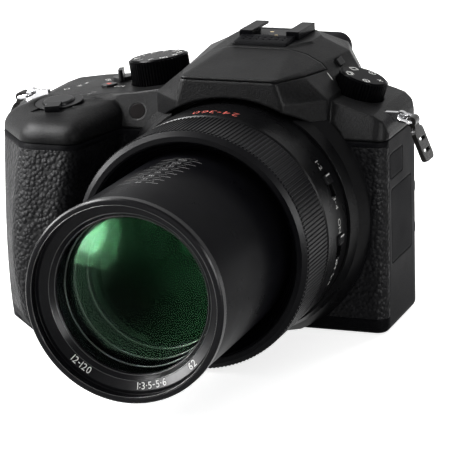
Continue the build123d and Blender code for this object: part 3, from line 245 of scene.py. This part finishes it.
def leather(name, colour, rough):
    """Pebbled rubber skin: rounded cells with grooves between them and a finer grain on top."""
    pebble_mm, pebble_depth_mm, pebble_warp = 1.45, 0.30, 0.45
    fine_mm, fine_depth_mm = 0.35, 0.02
    edge_mm = 0.4
    patch_mm = 9.0
    mat, tree, shader = new_material(name)
    shader.inputs["Specular IOR Level"].default_value = 0.05
    far = cells(tree, pebble_mm, pebble_warp)
    pebble = mapped(tree, far, 0.1, 0.75, 1.0, 0.0)
    under = bump(tree, shader, pebble, pebble_depth_mm, soft_edges(tree, edge_mm))
    bump(tree, shader, noise(tree, fine_mm), fine_depth_mm, under)
    # Painted shade: the grooves between the pebbles are darker, down to 0.55 of the colour
    tinted(tree, shader, mapped(tree, far, 0.25, 0.6, 1.0, 0.0), scaled(colour, 0.55), colour)
    tree.links.new(wandering(tree, patch_mm, rough - 0.06, rough + 0.08), shader.inputs["Roughness"])
    return mat


def satin(name, colour, rough, gloss=0.035, turned_mm=0.0, depth_mm=0.01, edge_mm=0.2, metal=0.0):
    """A smooth finish, with fine turned lines round the lens axis where turned_mm is given."""
    ripple_mm = 0.6
    tint_mm = 6.0
    patch_mm = 11.0
    mat, tree, shader = new_material(name)
    shader.inputs["Specular IOR Level"].default_value = gloss
    shader.inputs["Metallic"].default_value = metal
    if turned_mm:
        height = noise(tree, turned_mm, stretch=(0.02, 1.0, 0.02))
    else:
        height = noise(tree, ripple_mm)
    bump(tree, shader, height, depth_mm, soft_edges(tree, edge_mm), strength=0.6)
    tinted(tree, shader, wandering(tree, tint_mm, 0.0, 1.0), scaled(colour, 0.85), scaled(colour, 1.15))
    rough_patch = wandering(tree, patch_mm, rough - 0.04, rough + 0.04, detail=4.0)
    tree.links.new(rough_patch, shader.inputs["Roughness"])
    return mat


def glass(name, colour, coating, ior, rough=0.0, deepened_mm=0.0, clear_mm=0.0, full_mm=0.0):
    """Clear glass whose coating tints what it reflects.

    deepened_mm is the radius of the extra curve of an aspheric face, given to its normals only.
    The coating reflects from clear_mm off the axis, and fully at full_mm; nearer the axis its reflection
    is cut to a tenth, which is painted shade that darkens the middle of the glass.
    """
    haze_mm = 14.0
    mat, tree, shader = new_material(name)
    shader.inputs["Base Color"].default_value = (*colour, 1.0)
    shader.inputs["Transmission Weight"].default_value = 1.0
    shader.inputs["IOR"].default_value = ior
    shader.inputs["Specular IOR Level"].default_value = 0.5
    shader.inputs["Specular Tint"].default_value = (*coating, 1.0)
    tree.links.new(wandering(tree, haze_mm, rough, rough + 0.015), shader.inputs["Roughness"])
    # Painted shade: near the axis the coating's reflection is cut to a tenth, darkening the middle of the
    # glass
    if full_mm:
        strength = mapped(tree, from_axis(tree), clear_mm * MM, full_mm * MM, 0.0, 1.0, smooth=True)
        tinted(tree, shader, strength, scaled(coating, 0.1), coating, "Specular Tint")
    if deepened_mm:
        tree.links.new(deepened_normal(tree, deepened_mm), shader.inputs["Normal"])
    return mat


def ink(name, colour):
    mottle_mm = 0.3
    mat, tree, shader = new_material(name)
    shader.inputs["Specular IOR Level"].default_value = 0.3
    tinted(tree, shader, wandering(tree, mottle_mm, 0.0, 1.0), scaled(colour, 0.82), colour)
    shader.inputs["Roughness"].default_value = 0.55
    return mat


body = grained_plastic("body_plastic", (0.006, 0.006, 0.007), 0.42, gloss=0.008, grip_mm=7.0)
top = grained_plastic("top_plastic", (0.0062, 0.0062, 0.0066), 0.40, grain_mm=0.55, depth_mm=0.12,
                      spread=0.5, gloss=0.04, grip_mm=7.0)
rubber = grained_plastic("soft_rubber", (0.005, 0.005, 0.006), 0.55, grain_mm=0.3, depth_mm=0.015,
                         gloss=0.01)
board = grained_plastic("board_green", (0.03, 0.14, 0.07), 0.45, grain_mm=1.2)
skin = leather("leatherette", (0.007, 0.007, 0.008), 0.48)
barrel = satin("barrel_plastic", (0.004, 0.004, 0.0045), 0.28, gloss=0.05)
ribbed = satin("ribbed_ring", (0.005, 0.005, 0.006), 0.34, edge_mm=0.12)
tube = satin("inner_tube", (0.004, 0.004, 0.005), 0.30, gloss=0.008, turned_mm=0.25)
rim = satin("rim_black", (0.005, 0.005, 0.006), 0.24, gloss=0.06, edge_mm=0.4)
bezel = satin("bezel_edge", (0.035, 0.035, 0.036), 0.22, gloss=0.3)
control = satin("control_black", (0.016, 0.016, 0.017), 0.30, gloss=0.06, edge_mm=0.5)
dial = satin("dial_black", (0.0025, 0.0025, 0.003), 0.20, gloss=0.01)
lever = satin("lever_black", (0.004, 0.004, 0.005), 0.26, gloss=0.05, edge_mm=0.3)
strap = satin("strap_black", (0.012, 0.011, 0.010), 0.24, gloss=0.08, edge_mm=0.4)
bright = satin("bright_metal", (0.42, 0.42, 0.43), 0.14, metal=1.0, edge_mm=0.1)
steel = satin("steel", (0.52, 0.52, 0.53), 0.32, metal=1.0, edge_mm=0.15)
gold = satin("contact_metal", (0.83, 0.62, 0.26), 0.25, metal=1.0, edge_mm=0.1)
shoe = satin("shoe_metal", (0.004, 0.004, 0.005), 0.24, gloss=0.012, edge_mm=0.3)
display = satin("screen_face", (0.006, 0.006, 0.008), 0.08, gloss=0.5, depth_mm=0.001)
sensor = satin("sensor_dark", (0.02, 0.025, 0.04), 0.15)
cell = satin("cell_grey", (0.16, 0.16, 0.18), 0.40)
lamp = satin("lamp_clear", (0.010, 0.008, 0.008), 0.25, gloss=0.05)
flash = satin("flash_clear", (0.70, 0.70, 0.68), 0.30)
lens = glass("coated_glass", (0.90, 0.97, 0.92), (0.30, 1.0, 0.46), 1.18, rough=0.10,
             deepened_mm=126.0, clear_mm=4.0, full_mm=24.0)
inner_lens = glass("inner_glass", (0.45, 0.52, 0.47), (0.20, 0.9, 0.40), 1.06)
window = glass("clear_glass", (0.85, 0.86, 0.88), (1.0, 1.0, 1.0), 1.45)
white = ink("print_white", INK_WHITE)
red = ink("print_red", INK_RED)
grey = ink("print_grey", INK_GREY)

finishes = {
    body: ["base_plate", "battery_bay", "front_cover", "rear_cover", "microphone_grille", "sensor_mount",
           "screen", "battery_door"],
    top: ["top_cover", "flash_head"],
    skin: ["grip_rubber", "front_panel", "thumb_rest"],
    barrel: ["lens_collar", "fixed_barrel"],
    ribbed: ["zoom_ring"],
    tube: ["inner_barrel", "barrel_baffle"],
    rim: ["front_rim"],
    control: ["focus_switch", "stabiliser_switch", "shutter_button", "power_lever", "movie_button",
              "flash_button", "playback_button", "display_button", "delete_button", "menu_set_button",
              "battery_latch"],
    lever: ["zoom_lever"],
    dial: ["mode_dial", "drive_dial", "rear_dial", "diopter_dial", "control_wheel"],
    strap: ["strap_tab_right", "strap_tab_left"],
    rubber: ["eyecup", "terminal_door", "microphone_door"],
    bright: ["strap_lugs", "strap_ring_right", "strap_ring_left"],
    steel: ["tripod_bush", "base_screws", "hinge_pin"],
    gold: ["shoe_contacts"],
    shoe: ["hot_shoe"],
    display: ["screen_glass"],
    board: ["main_board"],
    sensor: ["image_sensor"],
    cell: ["battery"],
    lamp: ["focus_lamp"],
    flash: ["flash_window"],
    lens: ["front_lens"],
    inner_lens: ["second_lens", "rear_lens"],
    window: ["eyepiece_lens"],
}
for finish, names in finishes.items():
    for name in names:
        slots = nodes[name].data.materials
        slots.clear()
        slots.append(finish)


# Flat drawings for the printed marks, in millimetres: lists of (corners, faces)
def rectangle(x0, x1, y0, y1):
    return [([(x0, y0), (x1, y0), (x1, y1), (x0, y1)], [(0, 1, 2, 3)])]


def line(a, b, width):
    run = Vector((b[0] - a[0], b[1] - a[1])).normalized() * (width / 2)
    side = (-run.y, run.x)
    corners = [(a[0] - side[0], a[1] - side[1]), (b[0] - side[0], b[1] - side[1]),
               (b[0] + side[0], b[1] + side[1]), (a[0] + side[0], a[1] + side[1])]
    return [(corners, [(0, 1, 2, 3)])]


def ruled(x0, x1, width, parts=5):
    """A line along X, in short pieces so that it follows a round surface."""
    step = (x1 - x0) / parts
    strips = [rectangle(x0 + k * step, x0 + (k + 1) * step, -width / 2, width / 2) for k in range(parts)]
    return sum(strips, [])


def disc(x, y, radius, steps=20):
    corners = []
    for k in range(steps):
        angle = 2 * pi * k / steps
        corners.append((x + radius * cos(angle), y + radius * sin(angle)))
    return [(corners, [tuple(range(steps))])]


def circle(radius, width, steps=24):
    """The outline of a circle round the drawing's middle."""
    corners = []
    for k in range(steps + 1):
        angle = radians(360.0 * k / steps)
        for r in (radius - width / 2, radius + width / 2):
            corners.append((r * cos(angle), r * sin(angle)))
    faces = [(2 * k, 2 * k + 1, 2 * k + 3, 2 * k + 2) for k in range(steps)]
    return [(corners, faces)]


def triangle(size):
    return [([(-size / 2, -size / 2), (size / 2, 0), (-size / 2, size / 2)], [(0, 1, 2)])]


def frame_mark(x0, x1, y0, y1, width):
    """The outline of a rectangle."""
    return (line((x0, y0), (x1, y0), width) + line((x0, y1), (x1, y1), width)
            + line((x0, y0), (x0, y1), width) + line((x1, y0), (x1, y1), width))


def glyph(letters, size):
    """Letters or numbers, centred on their own middle, with their width."""
    curve = bpy.data.curves.new("glyph", "FONT")
    curve.body = letters
    curve.size = size
    curve.resolution_u = 3
    holder = bpy.data.objects.new("glyph", curve)
    mesh = bpy.data.meshes.new_from_object(holder)
    corners = [(v.co.x, v.co.y) for v in mesh.vertices]
    faces = [tuple(p.vertices) for p in mesh.polygons]
    bpy.data.objects.remove(holder)
    bpy.data.curves.remove(curve)
    bpy.data.meshes.remove(mesh)
    xs = [c[0] for c in corners]
    ys = [c[1] for c in corners]
    middle_x = (min(xs) + max(xs)) / 2
    middle_y = (min(ys) + max(ys)) / 2
    centred = [(x - middle_x, y - middle_y) for x, y in corners]
    return [(centred, faces)], max(xs) - min(xs)


def turned(drawing, angle, dx, dy):
    c, s = cos(radians(angle)), sin(radians(angle))
    moved = []
    for corners, faces in drawing:
        moved.append(([(x * c - y * s + dx, x * s + y * c + dy) for x, y in corners], faces))
    return moved


# Frames that a drawing lies in: an origin, the drawing's own X and the way out of the surface
def spot(origin, across, out):
    out = Vector(out).normalized()
    across = Vector(across)
    across = (across - out * across.dot(out)).normalized()
    up = out.cross(across)
    turn = Matrix((across, up, out)).transposed().to_4x4()
    return Matrix.Translation(Vector(origin) * MM) @ turn


def round_barrel(angle, y, radius, turn=0.0):
    """On the outside of the lens at an angle counted up from +X; the drawing reads along the turn."""
    a = radians(angle)
    out = Vector((cos(a), 0, sin(a)))
    origin = out * radius + Vector((0, y, AXIS_Z))
    along = Vector((sin(a), 0, -cos(a)))
    across = along * cos(radians(turn)) + Vector((0, 1, 0)) * sin(radians(turn))
    return spot(origin, across, out)


def on_rim(angle, radius, y):
    """On a ring that faces forwards; angle is counted from the top, clockwise as the viewer sees it."""
    a = radians(angle)
    outward = Vector((sin(a), 0, cos(a)))
    along = Vector((cos(a), 0, -sin(a)))
    return spot(outward * radius + Vector((0, y, AXIS_Z)), along, (0, -1, 0))


def leaning(x, y, z, lean, height):
    """A frame whose own Z leans towards +X by an angle, raised along it."""
    up = Vector((sin(radians(lean)), 0, cos(radians(lean)))).normalized()
    return spot(Vector((x, y, z)) + up * height, (1, 0, 0), up)


def on_deck(x, y, turn):
    """On the top cover beside the dials, which falls away to the grip."""
    a = radians(turn)
    return spot((x, y, DECK_Z), (cos(a), sin(a), 0), (-0.12, 0, 1))


# Printing a drawing on a piece
surfaces = {}


def surface_of(node):
    if node not in surfaces:
        mesh = nodes[node].data
        corners = [v.co for v in mesh.vertices]
        surfaces[node] = BVHTree.FromPolygons(corners, [p.vertices for p in mesh.polygons])
    return surfaces[node]


def printed(name, node, finish, drawings):
    """One mesh of thin ink marks, each laid on the node's surface along its frame's own Z."""
    points, faces = [], []
    surface = surface_of(node)
    for place, drawing in drawings:
        out = (place.to_3x3() @ Vector((0, 0, 1))).normalized()
        for corners, corner_faces in drawing:
            start = len(points)
            for x, y in corners:
                p = place @ Vector((x * MM, y * MM, 0))
                hit = surface.ray_cast(p + out * REACH, -out, REACH * 2)[0]
                points.append((hit if hit is not None else p) + out * INK_LIFT)
            faces.extend(tuple(start + k for k in face) for face in corner_faces)
    mesh = bpy.data.meshes.new(name)
    mesh.from_pydata(points, [], faces)
    mesh.materials.append(finish)
    piece = bpy.data.objects.new(name, mesh)
    bpy.context.scene.collection.objects.link(piece)
    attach(piece, nodes[node]["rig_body"])
    return piece


def lettered_round(letters, size, gap, where):
    """Each letter in its own frame; where(distance) gives the frame at a distance along the line."""
    shapes = [glyph(c, size) for c in letters]
    total = sum(width for _, width in shapes) + gap * (len(shapes) - 1)
    at = -total / 2
    drawings = []
    for shape, width in shapes:
        drawings.append((where(at + width / 2), shape))
        at += width + gap
    return drawings


def around(radius, middle, y, flip=False):
    """Frames for letters that run round the barrel."""
    def where(distance):
        angle = middle - degrees(distance / radius) * (-1 if flip else 1)
        return round_barrel(angle, y, radius, 180.0 if flip else 0.0)
    return where


def around_rim(radius, middle, y):
    """Frames for letters that run round the foot of the rim with their tops to its middle."""
    def where(distance):
        place = on_rim(middle - degrees(distance / radius), radius, y)
        return place @ Matrix.Rotation(pi, 4, "Z")
    return where


def round_dial(face, radius, drawings, start=90.0):
    """Drawings set round a dial with their tops outwards."""
    marks = []
    for k, drawing in enumerate(drawings):
        angle = start + 360.0 * k / len(drawings)
        a = radians(angle)
        marks.append((face, turned(drawing, angle - 90.0, radius * cos(a), radius * sin(a))))
    return marks


# Marks on the lens
ZOOM_NUMBERS_Y = -47.5
red_numbers = lettered_round("24-360", 5.4, 0.7, around(BARREL_R, 90.0, ZOOM_NUMBERS_Y, flip=True))
printed("zoom_numbers", "fixed_barrel", red, red_numbers)

SCALE_VALUES = (24, 35, 50, 70, 100, 135, 200, 300)
SCALE_START_Y = -111.0
SCALE_LENGTH = 30.0
SCALE_START_ANGLE = 95.0
SCALE_TURN = 6.0
SCALE_HALF_STEP = 2.1
scale = []
for k, value in enumerate(SCALE_VALUES):
    y = SCALE_START_Y + SCALE_LENGTH * k / (len(SCALE_VALUES) - 1)
    angle = SCALE_START_ANGLE - SCALE_TURN * k / (len(SCALE_VALUES) - 1)
    numbered = ruled(-7.0, -2.5, 0.22) + glyph(str(value), 2.1)[0] + ruled(2.5, 6.5, 0.22)
    scale.append((round_barrel(angle, y, TUBE_R), numbered))
    scale.append((round_barrel(angle, y + SCALE_HALF_STEP, TUBE_R), ruled(-4.0, 4.5, 0.14, 8)))
printed("focal_marks", "inner_barrel", grey, scale)

side_marks = []
for middle, letters in ((34.0, "1-2"), (14.5, "3-4"), (3.2, "ON"), (-15.0, "OFF"), (-24.0, "5-6")):
    side_marks += lettered_round(letters, 3.4, 0.4, around(BARREL_R, middle, SWITCH_Y))
printed("barrel_marks", "fixed_barrel", white, side_marks)
for name, middle in (("focus_switch", 28.2), ("stabiliser_switch", -1.4)):
    tick = [(round_barrel(middle, SWITCH_Y, BARREL_R + 1), rectangle(-0.25, 0.25, -1.9, 1.9))]
    printed(name + "_tick", name, white, tick)

rim_marks = []
for middle, letters in ((166.0, "1:3.5-5.6"), (216.0, "12-120"), (134.0, "62")):
    rim_marks += lettered_round(letters, 3.0, 0.4, around_rim(NAME_RING_R, middle, NAME_RING_Y))
printed("rim_marks", "front_rim", white, rim_marks)


# The turned edges of the lens's bezel and the baffle rings behind its front element
def hoop(name, radius, y, half_thick, steps=120, sides=8):
    """A thin ring of round section round the lens axis."""
    corners, faces = [], []
    for k in range(steps):
        a = 2 * pi * k / steps
        for j in range(sides):
            b = 2 * pi * j / sides
            r = radius + half_thick * cos(b)
            out_y = y + half_thick * sin(b)
            corners.append((r * cos(a) * MM, out_y * MM, (AXIS_Z + r * sin(a)) * MM))
            after, along = (k + 1) % steps, (j + 1) % sides
            faces.append((k * sides + j, k * sides + along, after * sides + along, after * sides + j))
    mesh = bpy.data.meshes.new(name)
    mesh.from_pydata(corners, [], faces)
    mesh.polygons.foreach_set("use_smooth", [True] * len(faces))
    mesh.materials.append(bezel)
    piece = bpy.data.objects.new(name, mesh)
    bpy.context.scene.collection.objects.link(piece)
    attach(piece, nodes["front_rim"]["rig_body"])


# Each hoop's name, radius, place along Y and half its thickness
HOOPS = (
    ("bezel_edge_outer", 30.75, -134.05, 0.12),
    ("bezel_edge_middle", 27.0, -128.95, 0.14),
    ("bezel_edge_inner", 25.6, -127.45, 0.14),
    ("baffle_ring_1", 24.6, -119.0, 0.3),
    ("baffle_ring_2", 24.0, -112.0, 0.3),
    ("baffle_ring_3", 23.0, -104.0, 0.3),
)
for name, radius, y, half_thick in HOOPS:
    hoop(name, radius, y, half_thick)


# Marks on the controls. Each dial's place and lean are the part's own.
MODE_FACE = leaning(-38.8, 3.52, 80.15, -8.0, 9.0)
mode_drawings = [glyph(c, 3.6)[0] for c in ("P", "A", "S", "M", "1", "2")]
mode_drawings.append(frame_mark(-1.2, 1.2, -0.8, 0.8, 0.3) + disc(0, 0, 0.45))
mode_drawings.append(disc(0, 0.7, 0.5) + rectangle(-0.7, 0.7, -0.9, 0.0))
mode_drawings.append(circle(0.85, 0.3) + rectangle(-0.15, 0.15, -0.2, 0.9))
mode_drawings.append(frame_mark(-1.1, 1.1, -0.9, 0.9, 0.3) + rectangle(-0.5, 0.5, -0.15, 0.15))
mode_marks = round_dial(MODE_FACE, 7.6, mode_drawings)
printed("mode_marks", "mode_dial", white, mode_marks)

DRIVE_FACE = leaning(34.3, 1.0, 77.4, 18.0, 9.0)
two_sheets = (frame_mark(-1.5, 0.8, -0.5, 1.2, 0.4) + line((-0.6, -1.2), (1.5, -1.2), 0.4)
              + line((1.5, -1.2), (1.5, 0.6), 0.4))
drive_drawings = [
    frame_mark(-1.4, 1.4, -1.0, 1.0, 0.4),
    two_sheets,
    circle(1.2, 0.4) + line((0, 0), (0, 0.9), 0.4) + line((0, 0), (0.6, 0), 0.4),
    rectangle(-0.2, 0.2, -1.1, 1.1) + rectangle(-1.1, 1.1, -0.2, 0.2),
    circle(1.2, 0.4) + disc(0, 0, 0.4),
]
drive_marks = round_dial(DRIVE_FACE, 5.7, drive_drawings, start=150.0)
printed("drive_marks", "drive_dial", white, drive_marks)

deck_marks = [
    (on_deck(-73.8, -2.0, -60), frame_mark(-1.3, 1.3, -0.8, 0.8, 0.3)),
    (on_deck(-70.6, 2.0, -60), glyph("W", 2.9)[0]),
    (on_deck(-69.4, 6.2, -60), triangle(1.6)),
    (on_deck(-59.4, -15.6, 0), glyph("T", 2.9)[0]),
    (on_deck(-58.9, -11.8, 0), rectangle(-1.0, 1.0, -0.15, 0.15)),
    (on_deck(-62.4, 9.8, -60), glyph("OFF", 2.6)[0]),
    (on_deck(-52.6, -3.4, 0), glyph("ON", 2.6)[0]),
    (on_deck(-50.6, 5.5, 0), rectangle(-0.9, 0.9, -0.2, 0.2)),
]
printed("deck_marks", "top_cover", white, deck_marks)

INDEX = spot((26.7, -5.4, 86.5), (0.68, -0.25, -0.69), (0.74, -0.18, 0.65))
index_mark = [(INDEX, rectangle(-1.6, 1.6, -0.25, 0.25))]
printed("dial_index", "top_cover", white, index_mark)
MOVIE_FACE = leaning(-57.0, -1.5, 77.4, -5.5, 1.0)
printed("movie_mark", "movie_button", red, [(MOVIE_FACE, disc(0, 0, 1.0))])


# Floor and surroundings, in metres
FLOOR_HALF = 8.0
FLOOR_DROP = 0.0002
FLOOR_GLOW = 0.8
WORLD_DIFFUSE = 0.2
WHITE = (1.0, 1.0, 1.0, 1.0)


def seen_directly(tree):
    """1 where the camera sees a surface, by itself or through gloss or glass."""
    path = tree.nodes.new("ShaderNodeLightPath")
    seen = path.outputs["Is Camera Ray"]
    for ray in ("Is Glossy Ray", "Is Transmission Ray"):
        seen = number_math(tree, "MAXIMUM", seen, path.outputs[ray])
    return seen


floor_corners = [(-FLOOR_HALF, -FLOOR_HALF, 0), (FLOOR_HALF, -FLOOR_HALF, 0),
                 (FLOOR_HALF, FLOOR_HALF, 0), (-FLOOR_HALF, FLOOR_HALF, 0)]
floor_mesh = bpy.data.meshes.new("floor")
floor_mesh.from_pydata(floor_corners, [], [(0, 1, 2, 3)])
floor = bpy.data.objects.new("floor", floor_mesh)
floor.location.z = -FLOOR_DROP
bpy.context.scene.collection.objects.link(floor)
floor_mat, floor_tree, floor_shader = new_material("floor")
floor_shader.inputs["Base Color"].default_value = (0.93, 0.93, 0.93, 1.0)
floor_shader.inputs["Roughness"].default_value = 0.9
floor_shader.inputs["Specular IOR Level"].default_value = 0.1
floor_shader.inputs["Emission Color"].default_value = WHITE
glow = mapped(floor_tree, seen_directly(floor_tree), 0.0, 1.0, 0.0, FLOOR_GLOW)
floor_tree.links.new(glow, floor_shader.inputs["Emission Strength"])
floor_mesh.materials.append(floor_mat)

world = bpy.data.worlds.new("studio")
bpy.context.scene.world = world
world.use_nodes = True
sky = world.node_tree.nodes["Background"]
sky.inputs["Color"].default_value = WHITE
strength = mapped(world.node_tree, seen_directly(world.node_tree), 0.0, 1.0, WORLD_DIFFUSE, 1.0)
world.node_tree.links.new(strength, sky.inputs["Strength"])

# Lights, in metres and watts, and the places that they are turned to
AT_BODY = (0, -0.03, 0.05)
AT_BACK = (0, 0.0, 0.05)
AT_BARREL = (0, -0.05, 0.05)
AT_LENS = (0, -0.13, 0.05)


def softbox(name, at, towards, width, height, power, only_gloss=False, only_diffuse=False):
    """A soft lamp.

    With only_gloss it is a reflector that shows in shiny faces and lights nothing else.
    With only_diffuse it lights surfaces and doesn't show in shiny faces.
    """
    light = bpy.data.lights.new(name, "AREA")
    light.shape = "ELLIPSE" if only_gloss else "RECTANGLE"
    light.size = width
    light.size_y = height
    light.energy = power
    lamp_object = bpy.data.objects.new(name, light)
    lamp_object.location = at
    lamp_object.rotation_euler = (Vector(towards) - Vector(at)).to_track_quat("-Z", "Y").to_euler()
    lamp_object.visible_diffuse = not only_gloss
    lamp_object.visible_glossy = not only_diffuse
    bpy.context.scene.collection.objects.link(lamp_object)


softbox("key", (-0.75, -0.1, 1.15), AT_BODY, 0.6, 0.6, 10.0)
softbox("fill", (0.1, -1.2, 0.9), AT_BARREL, 0.9, 0.6, 3.0)
softbox("back", (0.3, 1.3, 0.5), AT_BACK, 0.8, 0.6, 16.0, only_diffuse=True)
softbox("left", (-1.3, -0.35, 0.6), AT_BARREL, 0.6, 0.6, 11.0)
softbox("key_gloss", (-0.85, -0.05, 1.10), AT_BODY, 0.6, 0.6, 120.0, only_gloss=True)
softbox("left_gloss", (-1.35, -0.15, 0.55), AT_BARREL, 0.6, 0.6, 45.0, only_gloss=True)
softbox("right_gloss", (1.2, -0.85, 0.30), AT_BARREL, 0.16, 0.8, 45.0, only_gloss=True)
softbox("lens_gloss_wide", (-0.86, -0.91, 0.30), AT_LENS, 0.85, 0.90, 32.0, only_gloss=True)
softbox("lens_gloss", (-0.86, -0.90, 0.36), AT_LENS, 0.42, 0.48, 42.0, only_gloss=True)

# Camera
camera_data = bpy.data.cameras.new("camera")
camera_data.sensor_width = SENSOR_MM
camera_data.lens = FOCAL_PIXELS * SENSOR_MM / FRAME_PIXELS
camera_data.clip_start = CLIP_NEAR
camera_data.clip_end = CLIP_FAR
camera = bpy.data.objects.new("camera", camera_data)
bpy.context.scene.collection.objects.link(camera)
axes = Matrix((CAMERA_RIGHT, CAMERA_UP, CAMERA_BACK)).transposed().to_4x4()
camera.matrix_world = Matrix.Translation(CAMERA_AT) @ axes
bpy.context.scene.camera = camera
bpy.context.scene.view_settings.view_transform = "Standard"
